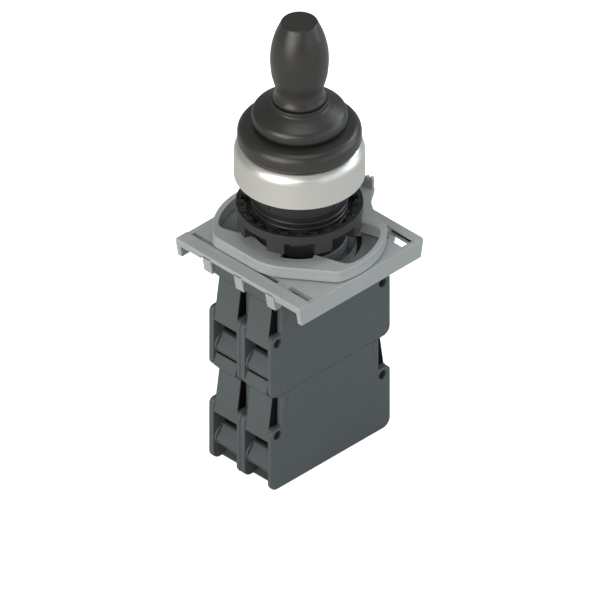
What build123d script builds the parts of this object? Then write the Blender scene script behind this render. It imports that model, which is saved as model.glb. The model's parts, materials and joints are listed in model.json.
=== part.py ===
from build123d import *

import os
from math import cos, radians, sin, tan

# Industrial joystick operator for a 22 mm panel hole, with four contact blocks.
# Millimetres. The operator's axis is +Z and the panel's front face is z = 0.
# The contact blocks stand in two columns along X and two rows along Z.

# Bezel, gasket and barrel
bezel_r = 14.8
bezel_top = 8.75
bezel_straight = 6.2
bezel_shoulder_r = 2.9
bezel_wall = 1.68
bezel_lip = 0.25
seat_bottom = 2.4
seat_top = 4.0
gasket_height = 0.8
gasket_recess = 0.05
thread_r = 11.0
thread_bottom = -13.0
thread_chamfer = 0.4
head_flange_r = 12.9
tube_r = 10.6
tube_top = 5.5
bore_r = 9.4
bayonet_r = 10.25
bayonet_bore_r = 8.3
barrel_bottom = -19.6
key_width = 1.0
key_height = 0.35
key_length = 1.3
lug_r = 12.2
lug_half_angle = 12.0
lug_height = 1.5
seam = 0.05

# Lever, knob and two-axis pivot
pivot_z = -1.0
tilt_limit = 12.0
shaft_r = 3.0
shaft_chamfer = 0.3
stud_r = 2.5
stud_chamfer = 0.5
shaft_top = 36.0
stud_bottom = 24.0
knob_bottom = 20.5
knob_top = 41.55
knob_skirt_r = 6.0
knob_skirt_z = 21.0
knob_neck_r = 5.4
knob_neck_z = 23.2
knob_waist_r = 6.31
knob_waist_z = 27.2
knob_belly_r = 6.66
knob_belly_z = 31.4
knob_shoulder_r = 6.15
knob_shoulder_z = 35.9
knob_crown_r = 4.85
knob_crown_drop = 1.75
knob_crown_z = knob_top - knob_crown_drop
knob_rim_r = 4.25
knob_rim_drop = 0.45
knob_rim_z = knob_top - knob_rim_drop
knob_face_r = 3.8
knob_edge_r = 0.5
insert_wall = 1.0
insert_lift = 0.4
hub_r = 4.6
hub_top = 3.0
hub_socket_z = 0.3
hub_chamfer = 1.0
pin_r = 0.8
pin_inset = 0.7
pin_play = 0.1
pin_step = 0.4
pin_recess = 0.3
gimbal_outer_r = 8.3
gimbal_inner_r = 6.2
gimbal_height = 3.0
swash_top = -4.6
swash_thickness = 1.2
swash_r = 7.9
swash_chamfer = 0.3
running_gap = 0.05
gate_thickness = 1.2
gate_gap = 0.25

# Rubber boot
boot_wall = 1.1
boot_neck_r = 6.2
boot_neck_top = 20.4
boot_neck_z = 19.1
boot_upper_r = 10.85
boot_upper_top = 17.9
boot_upper_bottom = 14.35
boot_valley_r = 8.6
boot_valley_z = 14.0
boot_inset = 0.75
boot_lower_r = bezel_r - boot_inset
boot_lower_top = 13.4
boot_lower_bottom = 8.85
boot_bead = 1.0
boot_lip = 0.6
boot_shoulder = 0.5
lower_lobe_fillet = 2.0
upper_lobe_fillet = 1.4
clamp_ring_wall = 1.2
clamp_ring_top = 8.0

# Pushers, guide and centring spring
pusher_ring_r = 5.6
pusher_r = 1.5
pusher_gap = 0.36
guide_gap = 0.2
guide_thickness = 1.5
guide_rise = 1.0
foot_drop = 2.1
foot_height = 1.6
rod_r = 0.8
rod_shift = 2.7
rod_entry = 1.5
spring_r = 3.2
spring_wire = 0.3
spring_turns = 4
wire_sides = 6

# Ring nut and its serrated washer
nut_top = -7.75
nut_r = 14.4
washer_height = 1.1
washer_inner_r = 12.35
nut_bottom = -12.85
nut_sleeve_r = 12.1
nut_sleeve_bottom = -12.4
nut_neck_top = -8.15
nut_web_height = 1.0
nut_legs = 8
nut_leg_angle = 17.0
nut_first_leg = 22.5
nut_wall = 2.3
nut_gap = 0.08
serrations = 24
serration_depth = 0.35
serration_rim = 0.3

# Locking ring, in its own frame with its tab towards +Y
ring_top = -15.0
ring_bottom = -17.85
ring_plate = 1.2
ring_wall = 1.25
ring_inset = 0.05
ring_back_step = 1.55
ring_rest_angle = 18.25
ring_front_r = 12.0
ring_corner_r = 2.0
ring_step_angle = 28.75
ring_hole_r = 10.6
notch_r = 12.4
notch_half_angle = 17.4
notch_angle = -66.75
window_width = 16.0
window_rim = 1.35
window_corner = 2.6
tab_root = 10.33
tab_tip = 8.1
tab_length = 3.5
tab_sink = 4.1
tab_flare = 4.0
grip_depth = 2.1
grip_height = 2.9

# Mounting flange
flange_size = 39.4
flange_top = -18.0
flange_drop = 0.3
flange_bar = 1.1
flange_plate = 1.6
flange_skirt = 1.3
skirt_gap = 0.3
flange_draft = 0.7
front_bar = 3.6
front_slot = 1.5
back_bar = 2.4
back_slot = 3.2
slot_margin = 0.9
web_width = 3.2
web_x = 10.2
finger_width = 2.6
finger_depth = 2.7
finger_pitch = 10.0
hook_lip = 0.6
collar_r = 12.0
collar_top = -16.35
collar_gap_angle = 32.0
spigot_r = 11.4
spigot_bore_r = 9.0

# Contact blocks
block_top = -23.3
block_height = 25.3
block_width = 9.9
block_gap = 0.1
block_half = 19.0
cover_wall = 1.5
case_wall = 1.1
arm_width = 6.9
recess_depth = 8.8
recess_top_step = 5.5
recess_floor_step = 4.1
corner_r = 2.2
shoulder_r = 1.3
hollow_r = 1.6
rivet_r = 1.15
rivet_step = 2.3
rivet_drop = 10.6
cavity_step = 8.0
cut_margin = 1.0
roof = 1.6
pocket_step = 6.4
slider_x = 5.6
arm_wall = 0.85
arm_neck_step = 1.8
arm_root_step = 2.0
arm_foot_step = 0.15
nose_reach = 0.05
nose_rise = 4.0
nose_chamfer = 0.9
nose_flare = 1.2
nose_undercut = 0.9
pocket_top = 12.0
pocket_bottom = 16.4
rib_root_step = 2.8
rib_nose_step = 0.6
rib_nose = 19.6
rib_foot_step = 1.5
rib_bottom = 20.9
hollow_step = 4.4
floor_height = 0.9
floor_lip_step = 2.9

# Inside each contact block
strip_width = 2.6
strip_height = 1.0
strip_drop = 13.05
strip_gap = 0.3
strip_inner_y = 3.6
strip_outer_step = 4.6
clamp_width = 0.6
slider_play = 1.5
slider_head = 2.0
slider_half = 6.6
spindle_r = 1.1
collar_step = 0.6
spindle_tail = 3.0
bridge_drop = 10.6
bridge_height = 1.0
bridge_half = 6.0
contact_wire = 0.22
contact_turns = 4

tilt = radians(tilt_limit)
swash_bottom = swash_top - swash_thickness
guide_top = thread_bottom + guide_rise
foot_bottom = flange_top - flange_drop - flange_plate - foot_drop

# Places on the flange and the ring that follow the flange's size
flange_half = flange_size / 2
front_bar_y = front_bar - flange_half
front_slot_y = front_bar_y + front_slot
back_bar_y = flange_half - back_bar
back_slot_y = back_bar_y - back_slot
slot_reach = flange_half - slot_margin
flange_bottom = block_top + skirt_gap
ring_r = flange_half - ring_inset
ring_back_r = ring_r - ring_back_step
ring_front = -front_bar_y
window_r = ring_r - window_rim
tab_reach = ring_back_r + tab_length

# Places along a block that follow its length
block_rows = {"upper": block_top, "lower": block_top - block_height}
block_columns = {"left": -1, "right": 1}
recess_top_y = block_half - recess_top_step
recess_floor_y = block_half - recess_floor_step
rivet_y = block_half - rivet_step
cavity_y = block_half - cavity_step
pocket_y = block_half - pocket_step
arm_neck_y = block_half - arm_neck_step
arm_root_y = block_half - arm_root_step
arm_foot_y = block_half - arm_foot_step
nose_y = block_half + nose_reach
rib_root_y = block_half - rib_root_step
rib_nose_y = block_half - rib_nose_step
rib_foot_y = block_half - rib_foot_step
hollow_y = block_half - hollow_step
floor_lip_y = block_half - floor_lip_step
strip_outer_y = block_half - strip_outer_step

os.makedirs("parts", exist_ok=True)


def polygon(*points, mode=Mode.ADD):
    """Fills a closed outline of straight edges in the current sketch."""
    with BuildLine() as outline:
        Polyline(*points, close=True)
    return make_face(outline.edges(), mode=mode)


def ring_section(inner, outer, low, high):
    """Draws a rectangular section at a radius, for a revolve about Z."""
    polygon((inner, low), (outer, low), (outer, high), (inner, high))


def polar(radius, angle):
    """The point at a radius and an angle in degrees from +X."""
    return (radius * cos(radians(angle)), radius * sin(radians(angle)))


def sector(radius, middle, half_angle, mode=Mode.ADD):
    """Fills a pie slice about the origin in the current sketch."""
    with BuildLine() as outline:
        Line((0, 0), polar(radius, middle - half_angle))
        ThreePointArc(
            polar(radius, middle - half_angle),
            polar(radius, middle),
            polar(radius, middle + half_angle),
        )
        Line(polar(radius, middle + half_angle), (0, 0))
    return make_face(outline.edges(), mode=mode)


# Bezel: a plated ring with a rounded shoulder and an inner seat for the boot

with BuildPart() as bezel:
    with BuildSketch(Plane.XZ):
        with BuildLine():
            rim_r = bezel_r - bezel_wall
            Polyline(
                (head_flange_r + seam, 0),
                (bezel_r, 0),
                (bezel_r, bezel_straight),
            )
            RadiusArc((bezel_r, bezel_straight), (rim_r + bezel_lip, bezel_top), -bezel_shoulder_r)
            Polyline(
                (rim_r + bezel_lip, bezel_top),
                (rim_r, bezel_top - bezel_lip),
                (rim_r, seat_top),
                (tube_r + seam, seat_top),
                (tube_r + seam, seat_bottom),
                (head_flange_r + seam, seat_bottom),
                (head_flange_r + seam, 0),
            )
        make_face()
    revolve(axis=Axis.Z)
bezel.part.label = "bezel_ring"
export_step(bezel.part, "parts/bezel_ring.step")


# Gasket: a flat rubber washer, flush with the bezel's rim on the panel

with BuildPart() as gasket:
    with BuildSketch(Plane.XZ):
        ring_section(thread_r + 2 * seam, head_flange_r - seam, gasket_recess, gasket_height)
    revolve(axis=Axis.Z)
gasket.part.label = "panel_gasket"
export_step(gasket.part, "parts/panel_gasket.step")


# Barrel: threaded outside, stepped bore, bayonet lugs at the lower end

with BuildPart() as barrel:
    with BuildSketch(Plane.XZ):
        with BuildLine():
            Polyline(
                (bore_r, tube_top),
                (tube_r, tube_top),
                (tube_r, seat_bottom - seam),
                (head_flange_r, seat_bottom - seam),
                (head_flange_r, gasket_height),
                (thread_r, gasket_height),
                (thread_r, thread_bottom),
                (bayonet_r, thread_bottom - thread_chamfer),
                (bayonet_r, barrel_bottom),
                (bayonet_bore_r, barrel_bottom),
                (bayonet_bore_r, guide_top - guide_thickness),
                (bore_r, guide_top - guide_thickness),
                close=True,
            )
        make_face()
    revolve(axis=Axis.Z)
    with BuildSketch(Plane.XY):
        with PolarLocations(thread_r, 4):
            Rectangle(2 * key_height, key_width)
    extrude(amount=-key_length)
    lug_top = ring_top - ring_plate - guide_gap
    with BuildSketch(Plane.XY.offset(lug_top - lug_height)):
        for side in (-90, 90):
            sector(lug_r, side, lug_half_angle)
        Circle((bayonet_bore_r + bayonet_r) / 2, mode=Mode.SUBTRACT)
    extrude(amount=lug_height)
    with Locations((0, 0, pivot_z)):
        Cylinder(pin_r + seam / 2, 2 * (thread_r - pin_inset), rotation=(0, 90, 0), mode=Mode.SUBTRACT)
barrel.part.label = "threaded_barrel"
export_step(barrel.part, "parts/threaded_barrel.step")


# Gate plate: its square opening stops the lever at the tilt limit

with BuildPart() as gate:
    gate_half = (
        (tube_top + gate_thickness - pivot_z) * tan(tilt) / cos(tilt)
        + shaft_r / cos(tilt)
        + gate_gap
    )
    with BuildSketch(Plane.XY.offset(tube_top)):
        Circle(tube_r)
        Rectangle(2 * gate_half, 2 * gate_half, mode=Mode.SUBTRACT)
    extrude(amount=gate_thickness)
    fillet(gate.edges().filter_by(Axis.Z), shaft_r / 2)
gate.part.label = "gate_plate"
export_step(gate.part, "parts/gate_plate.step")


# Boot: a rubber bellows of two lobes, with a bead at the foot and a collar at the neck


def boot_section(inset):
    """Fills the boot's half section, drawn inwards from its outer surface."""
    neck = boot_neck_r - inset
    polygon(
        (0, 0),
        (bezel_r - bezel_wall - seam - inset, 0),
        (bezel_r - bezel_wall - seam - inset, boot_lower_bottom + inset),
        (boot_lower_r - inset, boot_lower_bottom + boot_lip + inset),
        (boot_lower_r - inset, boot_lower_top - inset),
        (boot_valley_r - inset, boot_valley_z),
        (boot_upper_r - inset, boot_upper_bottom + inset),
        (boot_upper_r - inset, boot_upper_top - boot_shoulder - inset),
        (neck, boot_neck_z - inset),
        (neck, boot_neck_top),
        (0, boot_neck_top),
    )


with BuildPart() as boot:
    with BuildSketch(Plane.XZ) as boot_sketch:
        boot_section(0)
        lower_lobe = boot_sketch.vertices().filter_by(lambda v: v.X > boot_lower_r - seam)
        fillet(lower_lobe, lower_lobe_fillet)
        upper_lobe = boot_sketch.vertices().filter_by(
            lambda v: abs(v.X - boot_upper_r) < seam
        )
        fillet(upper_lobe, upper_lobe_fillet)
    revolve(axis=Axis.Z)
    with BuildSketch(Plane.XZ):
        boot_section(boot_wall)
    revolve(axis=Axis.Z, mode=Mode.SUBTRACT)
    with BuildSketch(Plane.XZ):
        ring_section(0, boot_lower_r, 0, seat_top + seam)
        ring_section(0, tube_r + 3 * seam, 0, boot_lower_bottom)
    revolve(axis=Axis.Z, mode=Mode.SUBTRACT)
    with BuildSketch(Plane.XZ):
        ring_section(
            tube_r + 3 * seam,
            bezel_r - bezel_wall - seam,
            seat_top + seam,
            seat_top + seam + boot_bead,
        )
        ring_section(shaft_r + seam, boot_neck_r, boot_neck_z - boot_wall, boot_neck_top)
    revolve(axis=Axis.Z)
boot.part.label = "boot"
export_step(boot.part, "parts/boot.step")


# Clamp ring: presses the boot's bead down onto the bezel's seat

with BuildPart() as clamp_ring:
    clamp_outer_r = bezel_r - bezel_wall - seam - boot_wall - seam
    with BuildSketch(Plane.XZ):
        ring_section(
            clamp_outer_r - clamp_ring_wall,
            clamp_outer_r,
            seat_top + 2 * seam + boot_bead,
            clamp_ring_top,
        )
    revolve(axis=Axis.Z)
clamp_ring.part.label = "boot_clamp_ring"
export_step(clamp_ring.part, "parts/boot_clamp_ring.step")


# Knob: a waisted barrel with a flared skirt, on a brass insert

with BuildPart() as knob:
    with BuildSketch(Plane.XZ) as knob_sketch:
        with BuildLine():
            insert_r = shaft_r + insert_wall + seam
            Line((insert_r, knob_bottom), (knob_skirt_r, knob_bottom))
            Line((knob_skirt_r, knob_bottom), (knob_skirt_r, knob_skirt_z))
            Spline(
                (knob_skirt_r, knob_skirt_z),
                (knob_neck_r, knob_neck_z),
                (knob_waist_r, knob_waist_z),
                (knob_belly_r, knob_belly_z),
                (knob_shoulder_r, knob_shoulder_z),
                (knob_crown_r, knob_crown_z),
                (knob_rim_r, knob_rim_z),
            )
            RadiusArc((knob_rim_r, knob_rim_z), (knob_face_r, knob_top), -knob_edge_r)
            Polyline(
                (knob_face_r, knob_top),
                (0, knob_top),
                (0, shaft_top + seam),
                (insert_r, shaft_top + seam),
                (insert_r, knob_bottom),
            )
        make_face()
    revolve(axis=Axis.Z)
knob.part.label = "knob"
export_step(knob.part, "parts/knob.step")

with BuildPart() as insert:
    with BuildSketch(Plane.XZ):
        polygon(
            (shaft_r + seam, knob_bottom + insert_lift),
            (shaft_r + insert_wall, knob_bottom + insert_lift),
            (shaft_r + insert_wall, shaft_top),
            (stud_r + seam, shaft_top),
            (stud_r + seam, stud_bottom + seam),
            (shaft_r + seam, stud_bottom + seam),
        )
    revolve(axis=Axis.Z)
insert.part.label = "knob_insert"
export_step(insert.part, "parts/knob_insert.step")


# Lever: shaft, hub, cross pin and swash plate

with BuildPart() as shaft:
    with BuildSketch(Plane.XZ):
        polygon(
            (0, hub_socket_z),
            (shaft_r - shaft_chamfer, hub_socket_z),
            (shaft_r, hub_socket_z + shaft_chamfer),
            (shaft_r, stud_bottom),
            (stud_r, stud_bottom),
            (stud_r, shaft_top - stud_chamfer),
            (stud_r - stud_chamfer, shaft_top),
            (0, shaft_top),
        )
    revolve(axis=Axis.Z)
shaft.part.label = "lever_shaft"
export_step(shaft.part, "parts/lever_shaft.step")

with BuildPart() as hub:
    with BuildSketch(Plane.XZ):
        polygon(
            (0, swash_top),
            (hub_r, swash_top),
            (hub_r, hub_top - hub_chamfer),
            (hub_r - hub_chamfer, hub_top),
            (shaft_r + seam / 2, hub_top),
            (shaft_r + seam / 2, hub_socket_z),
            (0, hub_socket_z),
        )
    revolve(axis=Axis.Z)
    with Locations((0, 0, pivot_z)):
        Cylinder(pin_r + seam / 2, 2 * hub_r, rotation=(90, 0, 0), mode=Mode.SUBTRACT)
hub.part.label = "pivot_hub"
export_step(hub.part, "parts/pivot_hub.step")

with BuildPart() as hub_pin:
    with Locations((0, 0, pivot_z)):
        Cylinder(pin_r, 2 * (gimbal_outer_r - pin_recess), rotation=(90, 0, 0))
hub_pin.part.label = "hub_pin"
export_step(hub_pin.part, "parts/hub_pin.step")

with BuildPart() as swash:
    with BuildSketch(Plane.XZ):
        polygon(
            (0, swash_bottom),
            (swash_r, swash_bottom),
            (swash_r, swash_top - swash_chamfer),
            (swash_r - swash_chamfer, swash_top),
            (0, swash_top),
        )
    revolve(axis=Axis.Z)
swash.part.label = "swash_plate"
export_step(swash.part, "parts/swash_plate.step")


# Gimbal: a ring that turns on two pins in the barrel and carries the hub's pin

with BuildPart() as gimbal:
    with BuildSketch(Plane.XY.offset(pivot_z - gimbal_height / 2)):
        Circle(gimbal_outer_r)
        Circle(gimbal_inner_r, mode=Mode.SUBTRACT)
    extrude(amount=gimbal_height)
    with Locations((0, 0, pivot_z)):
        for turn in ((0, 90, 0), (90, 0, 0)):
            Cylinder(
                pin_r + running_gap, 2 * gimbal_outer_r, rotation=turn, mode=Mode.SUBTRACT
            )
gimbal.part.label = "gimbal_ring"
export_step(gimbal.part, "parts/gimbal_ring.step")

with BuildPart() as gimbal_pins:
    pin_length = thread_r - pin_inset - pin_play - gimbal_inner_r - pin_step
    with Locations(
        *[(side * (gimbal_inner_r + pin_step + pin_length / 2), 0, pivot_z) for side in (-1, 1)]
    ):
        Cylinder(pin_r, pin_length, rotation=(0, 90, 0))
gimbal_pins.part.label = "gimbal_pins"
export_step(gimbal_pins.part, "parts/gimbal_pins.step")


# Guide plate and centring spring under the swash plate

with BuildPart() as guide:
    with BuildSketch(Plane.XY.offset(guide_top - guide_thickness)):
        Circle(bore_r - seam)
        with PolarLocations(pusher_ring_r, 4):
            Circle(pusher_r + guide_gap, mode=Mode.SUBTRACT)
    extrude(amount=guide_thickness)
guide.part.label = "guide_plate"
export_step(guide.part, "parts/guide_plate.step")


def coil(radius, wire, low, high, turns, centre=(0, 0)):
    """A coil spring between two heights, with its wire's centre line on a helix."""
    with BuildPart() as spring:
        with BuildLine() as path:
            Helix(
                (high - low) / turns,
                high - low,
                radius,
                center=(centre[0], centre[1], low),
            )
        with BuildSketch(Plane(origin=path.line @ 0, z_dir=path.line % 0)):
            RegularPolygon(wire, wire_sides)
        sweep(path=path.line, is_frenet=True)
    return spring


centring = coil(
    spring_r,
    spring_wire,
    guide_top + 2 * spring_wire,
    swash_bottom - 2 * spring_wire,
    spring_turns,
)
centring.part.label = "centring_spring"
export_step(centring.part, "parts/centring_spring.step")


# Pushers: domed stems under the swash plate, one for each direction of tilt

pusher_top = swash_bottom - pusher_gap


def stem(x, y, bottom):
    """Adds a round stem with a domed top to the current part."""
    height = pusher_top - pusher_r - bottom
    with Locations((x, y, bottom + height / 2)):
        Cylinder(pusher_r, height)
    with Locations((x, y, bottom + height)):
        Sphere(pusher_r)


# East and west push straight down on the upper sliders
for name, side in (("east", 1), ("west", -1)):
    with BuildPart() as pusher:
        stem(side * pusher_ring_r, 0, foot_bottom)
    pusher.part.label = f"pusher_{name}"
    export_step(pusher.part, f"parts/pusher_{name}.step")

# North and south have a foot that carries a rod down to the lower sliders
rod_bottom = block_rows["lower"] - roof - rod_entry
for name, side in (("north", 1), ("south", -1)):
    with BuildPart() as pusher:
        stem(0, side * pusher_ring_r, foot_bottom)
        with BuildSketch(Plane.XY.offset(foot_bottom)):
            with Locations((side * rod_shift / 2, side * pusher_ring_r)):
                SlotCenterToCenter(rod_shift, 2 * pusher_r)
        extrude(amount=foot_height)
    pusher.part.label = f"pusher_{name}"
    export_step(pusher.part, f"parts/pusher_{name}.step")

    with BuildPart() as rod:
        with BuildSketch(Plane.XY.offset(rod_bottom)):
            with Locations((side * rod_shift, side * pusher_ring_r)):
                Circle(rod_r)
        extrude(amount=foot_bottom - rod_bottom)
    rod.part.label = f"push_rod_{name}"
    export_step(rod.part, f"parts/push_rod_{name}.step")


# Clamp washer: a flat ring with radial serrations that bite the panel's back

with BuildPart() as washer:
    with BuildSketch(Plane.XY.offset(nut_top - washer_height)):
        Circle(nut_r)
        Circle(washer_inner_r, mode=Mode.SUBTRACT)
    extrude(amount=washer_height)
    with BuildSketch(Plane.XY.offset(nut_top - serration_depth)):
        for tooth in range(serrations):
            sector(nut_r + seam, tooth * 360 / serrations, 90 / serrations)
        Circle(washer_inner_r + serration_rim, mode=Mode.SUBTRACT)
    extrude(amount=serration_depth, mode=Mode.SUBTRACT)
washer.part.label = "clamp_washer"
export_step(washer.part, "parts/clamp_washer.step")


# Ring nut: a threaded sleeve inside a castellated skirt

with BuildPart() as nut:
    web_top = nut_top - washer_height - nut_gap
    with BuildSketch(Plane.XZ):
        ring_section(thread_r + nut_gap, nut_sleeve_r, nut_sleeve_bottom, nut_neck_top)
        ring_section(thread_r + nut_gap, nut_r, web_top - nut_web_height, web_top)
    revolve(axis=Axis.Z)
    with BuildSketch(Plane.XY.offset(nut_bottom)):
        for leg in range(nut_legs):
            sector(nut_r, nut_first_leg + leg * 360 / nut_legs, nut_leg_angle / 2)
        Circle(nut_r - nut_wall, mode=Mode.SUBTRACT)
    extrude(amount=web_top - nut_bottom)
nut.part.label = "ring_nut"
export_step(nut.part, "parts/ring_nut.step")


# Locking ring: a shallow cap with two windows, bayonet notches and a finger tab


def ring_outline(inset):
    """Fills the locking ring's outer form, without its tab, drawn in from its edge."""
    with BuildSketch() as form:
        Circle(ring_r - inset)
        for side in (-90 - ring_rest_angle, -90 + ring_rest_angle):
            with Locations(Location((0, 0, 0), (0, 0, side))):
                with Locations((ring_front - inset + ring_r, 0)):
                    Rectangle(2 * ring_r, 4 * ring_r, mode=Mode.SUBTRACT)
        sector(2 * ring_r, 90, 90 - ring_step_angle, mode=Mode.SUBTRACT)
        sector(ring_back_r - inset, 90, 90 - ring_step_angle + ring_inset)
        front_corner = form.vertices().sort_by(Axis.Y)[0]
        fillet(front_corner, ring_front_r - inset)
        side_corners = form.vertices().filter_by(
            lambda v: v.Y < -ring_back_step and abs(v.X) > ring_r / 2
        )
        fillet(side_corners, ring_corner_r)
    add(form.sketch)


with BuildPart() as lock:
    ring_plane = Plane.XY.rotated((0, 0, ring_rest_angle))
    tab_foot = ring_back_r - tab_sink
    with BuildSketch(ring_plane.offset(ring_bottom)):
        ring_outline(0)
    extrude(amount=ring_top - ring_bottom)
    with BuildSketch(ring_plane.offset(ring_bottom)):
        ring_outline(ring_wall)
    extrude(amount=ring_top - ring_plate - ring_bottom, mode=Mode.SUBTRACT)
    with BuildSketch(ring_plane.offset(ring_top - ring_plate)) as tab:
        Circle(ring_back_r)
        polygon(
            (-tab_root, tab_foot), (tab_root, tab_foot), (tab_tip, tab_reach), (-tab_tip, tab_reach)
        )
        tab_roots = tab.vertices().filter_by(
            lambda v: tab_foot < v.Y < tab_reach - grip_depth and abs(v.X) > tab_tip
        )
        fillet(tab_roots, tab_flare)
        with Locations((0, tab_foot - ring_r)):
            Rectangle(2 * ring_r, 2 * ring_r, mode=Mode.SUBTRACT)
    extrude(amount=ring_plate)
    with BuildSketch(ring_plane.offset(ring_bottom)) as windows:
        Rectangle(2 * ring_r, window_width)
        Circle(window_r, mode=Mode.INTERSECT)
        fillet(windows.vertices(), window_corner)
        Circle(ring_hole_r)
        for side in (notch_angle, notch_angle + 180):
            sector(notch_r, side, notch_half_angle)
    extrude(amount=ring_top - ring_bottom, mode=Mode.SUBTRACT)
    with BuildSketch(ring_plane.offset(ring_top - ring_plate)):
        with Locations((0, tab_reach - grip_depth / 2)):
            Rectangle(2 * tab_tip, grip_depth)
    extrude(amount=ring_plate + grip_height)
lock.part.label = "locking_ring"
export_step(lock.part, "parts/locking_ring.step")


# Mounting flange: a moulded plate with bars, slots, drafted skirts and fingers

with BuildPart() as flange:
    half = flange_half
    plate_top = flange_top - flange_drop
    plate_bottom = plate_top - flange_plate
    with BuildSketch(Plane.XY.offset(plate_bottom)):
        polygon(
            (-half, front_bar_y), (half, front_bar_y), (half, back_bar_y), (-half, back_bar_y)
        )
        for inner, outer in ((front_slot_y, front_bar_y), (back_slot_y, back_bar_y)):
            with Locations((0, (inner + outer) / 2)):
                Rectangle(2 * slot_reach, abs(outer - inner), mode=Mode.SUBTRACT)
            with Locations((web_x, (inner + outer) / 2), (-web_x, (inner + outer) / 2)):
                Rectangle(web_width, abs(outer - inner))
        Circle(spigot_bore_r, mode=Mode.SUBTRACT)
    extrude(amount=flange_plate)
    with BuildSketch(Plane.XY.offset(flange_top - flange_bar)):
        polygon((-half, -half), (half, -half), (half, front_bar_y), (-half, front_bar_y))
        polygon((-half, half), (half, half), (half, back_bar_y), (-half, back_bar_y))
    extrude(amount=flange_bar)
    for side in (-1, 1):
        with BuildSketch(Plane.YZ.offset(side * (half - flange_skirt / 2))):
            polygon(
                (-half, plate_top),
                (half, plate_top),
                (half - flange_draft, flange_bottom),
                (flange_draft - half, flange_bottom),
            )
        extrude(amount=flange_skirt / 2, both=True)
    for x in (-finger_pitch, 0, finger_pitch):
        with BuildSketch(Plane.YZ.offset(x)):
            for side in (-1, 1):
                polygon(
                    (side * half, flange_top - flange_bar),
                    (side * (half - finger_depth), flange_top - flange_bar),
                    (side * (half - finger_depth), flange_bottom),
                    (side * (half - flange_draft), flange_bottom),
                )
        extrude(amount=finger_width / 2, both=True)
    with BuildSketch(Plane.XY.offset(flange_top - flange_bar - hook_lip)):
        lip_inner = web_x + web_width / 2
        for x in (-1, 1):
            for y in (-1, 1):
                polygon(
                    (x * lip_inner, y * half),
                    (x * slot_reach, y * half),
                    (x * slot_reach, y * (half - flange_bar)),
                    (x * lip_inner, y * (half - flange_bar)),
                )
    extrude(amount=hook_lip)
    seat_r = bayonet_r + guide_gap
    with BuildSketch(Plane.XZ):
        ring_section(seat_r, collar_r, plate_top, collar_top)
        ring_section(spigot_bore_r, spigot_r, block_top + seam, plate_bottom)
    revolve(axis=Axis.Z)
    with BuildSketch(Plane.XY.offset(plate_top)):
        for side in (-90, 90):
            sector(half, side, collar_gap_angle / 2)
        Circle(seat_r - seam, mode=Mode.SUBTRACT)
    extrude(amount=collar_top - plate_top, mode=Mode.SUBTRACT)
    with BuildSketch(Plane.XY.offset(barrel_bottom - seam)):
        Circle(seat_r)
    extrude(amount=plate_top - barrel_bottom + seam, mode=Mode.SUBTRACT)
flange.part.label = "mounting_flange"
export_step(flange.part, "parts/mounting_flange.step")


# Contact blocks: a moulded case closed by a side cover, around sliding contacts


def block_wall(top):
    """Fills a block's side wall, recessed beside both arms, with its rivet holes."""
    bottom = top - block_height
    ledge = top - recess_depth
    with BuildSketch() as wall:
        polygon(
            (-recess_top_y, top),
            (-recess_floor_y, ledge),
            (-block_half, ledge),
            (-block_half, bottom),
            (block_half, bottom),
            (block_half, ledge),
            (recess_floor_y, ledge),
            (recess_top_y, top),
        )
        fillet(wall.vertices().group_by(Axis.Y)[0], corner_r)
        at_ledge = wall.vertices().filter_by(lambda v: abs(v.Y - ledge) < seam)
        fillet(at_ledge.filter_by(lambda v: abs(v.X) > rivet_y), shoulder_r)
        at_ledge = wall.vertices().filter_by(lambda v: abs(v.Y - ledge) < seam)
        fillet(at_ledge.filter_by(lambda v: abs(v.X) < rivet_y), hollow_r)
        with Locations((-rivet_y, top - rivet_drop), (rivet_y, top - rivet_drop)):
            Circle(rivet_r, mode=Mode.SUBTRACT)
    add(wall.sketch)


def block_core(top):
    """Fills a block's middle section: hooked arms, terminal pockets and ribs."""
    base = top - block_height
    with BuildSketch() as core:
        polygon(
            (0, top),
            (recess_floor_y, top),
            (recess_floor_y, top - recess_depth + seam),
            (arm_root_y, top - recess_depth + seam),
            (arm_neck_y - arm_wall, top - nose_undercut),
            (arm_neck_y - arm_wall, top + nose_rise - nose_chamfer),
            (arm_neck_y, top + nose_rise),
            (nose_y - nose_chamfer, top + nose_rise),
            (nose_y, top + nose_flare),
            (arm_neck_y, top - nose_undercut),
            (arm_foot_y, top - pocket_top),
            (pocket_y, top - pocket_top),
            (pocket_y, top - pocket_bottom),
            (rib_root_y, top - pocket_bottom),
            (rib_nose_y, top - rib_nose),
            (rib_foot_y, top - rib_bottom),
            (hollow_y, top - rib_bottom),
            (hollow_y, base + floor_height),
            (floor_lip_y, base + floor_height / 2),
            (floor_lip_y, base),
            (0, base),
        )
        mirror(about=Plane.YZ)
    add(core.sketch)


def box_between(low, high, mode=Mode.ADD):
    """Adds or cuts a box between two corners of the current part."""
    size = [abs(b - a) for a, b in zip(low, high)]
    middle = [(a + b) / 2 for a, b in zip(low, high)]
    with Locations(tuple(middle)):
        Box(*size, mode=mode)


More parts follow.
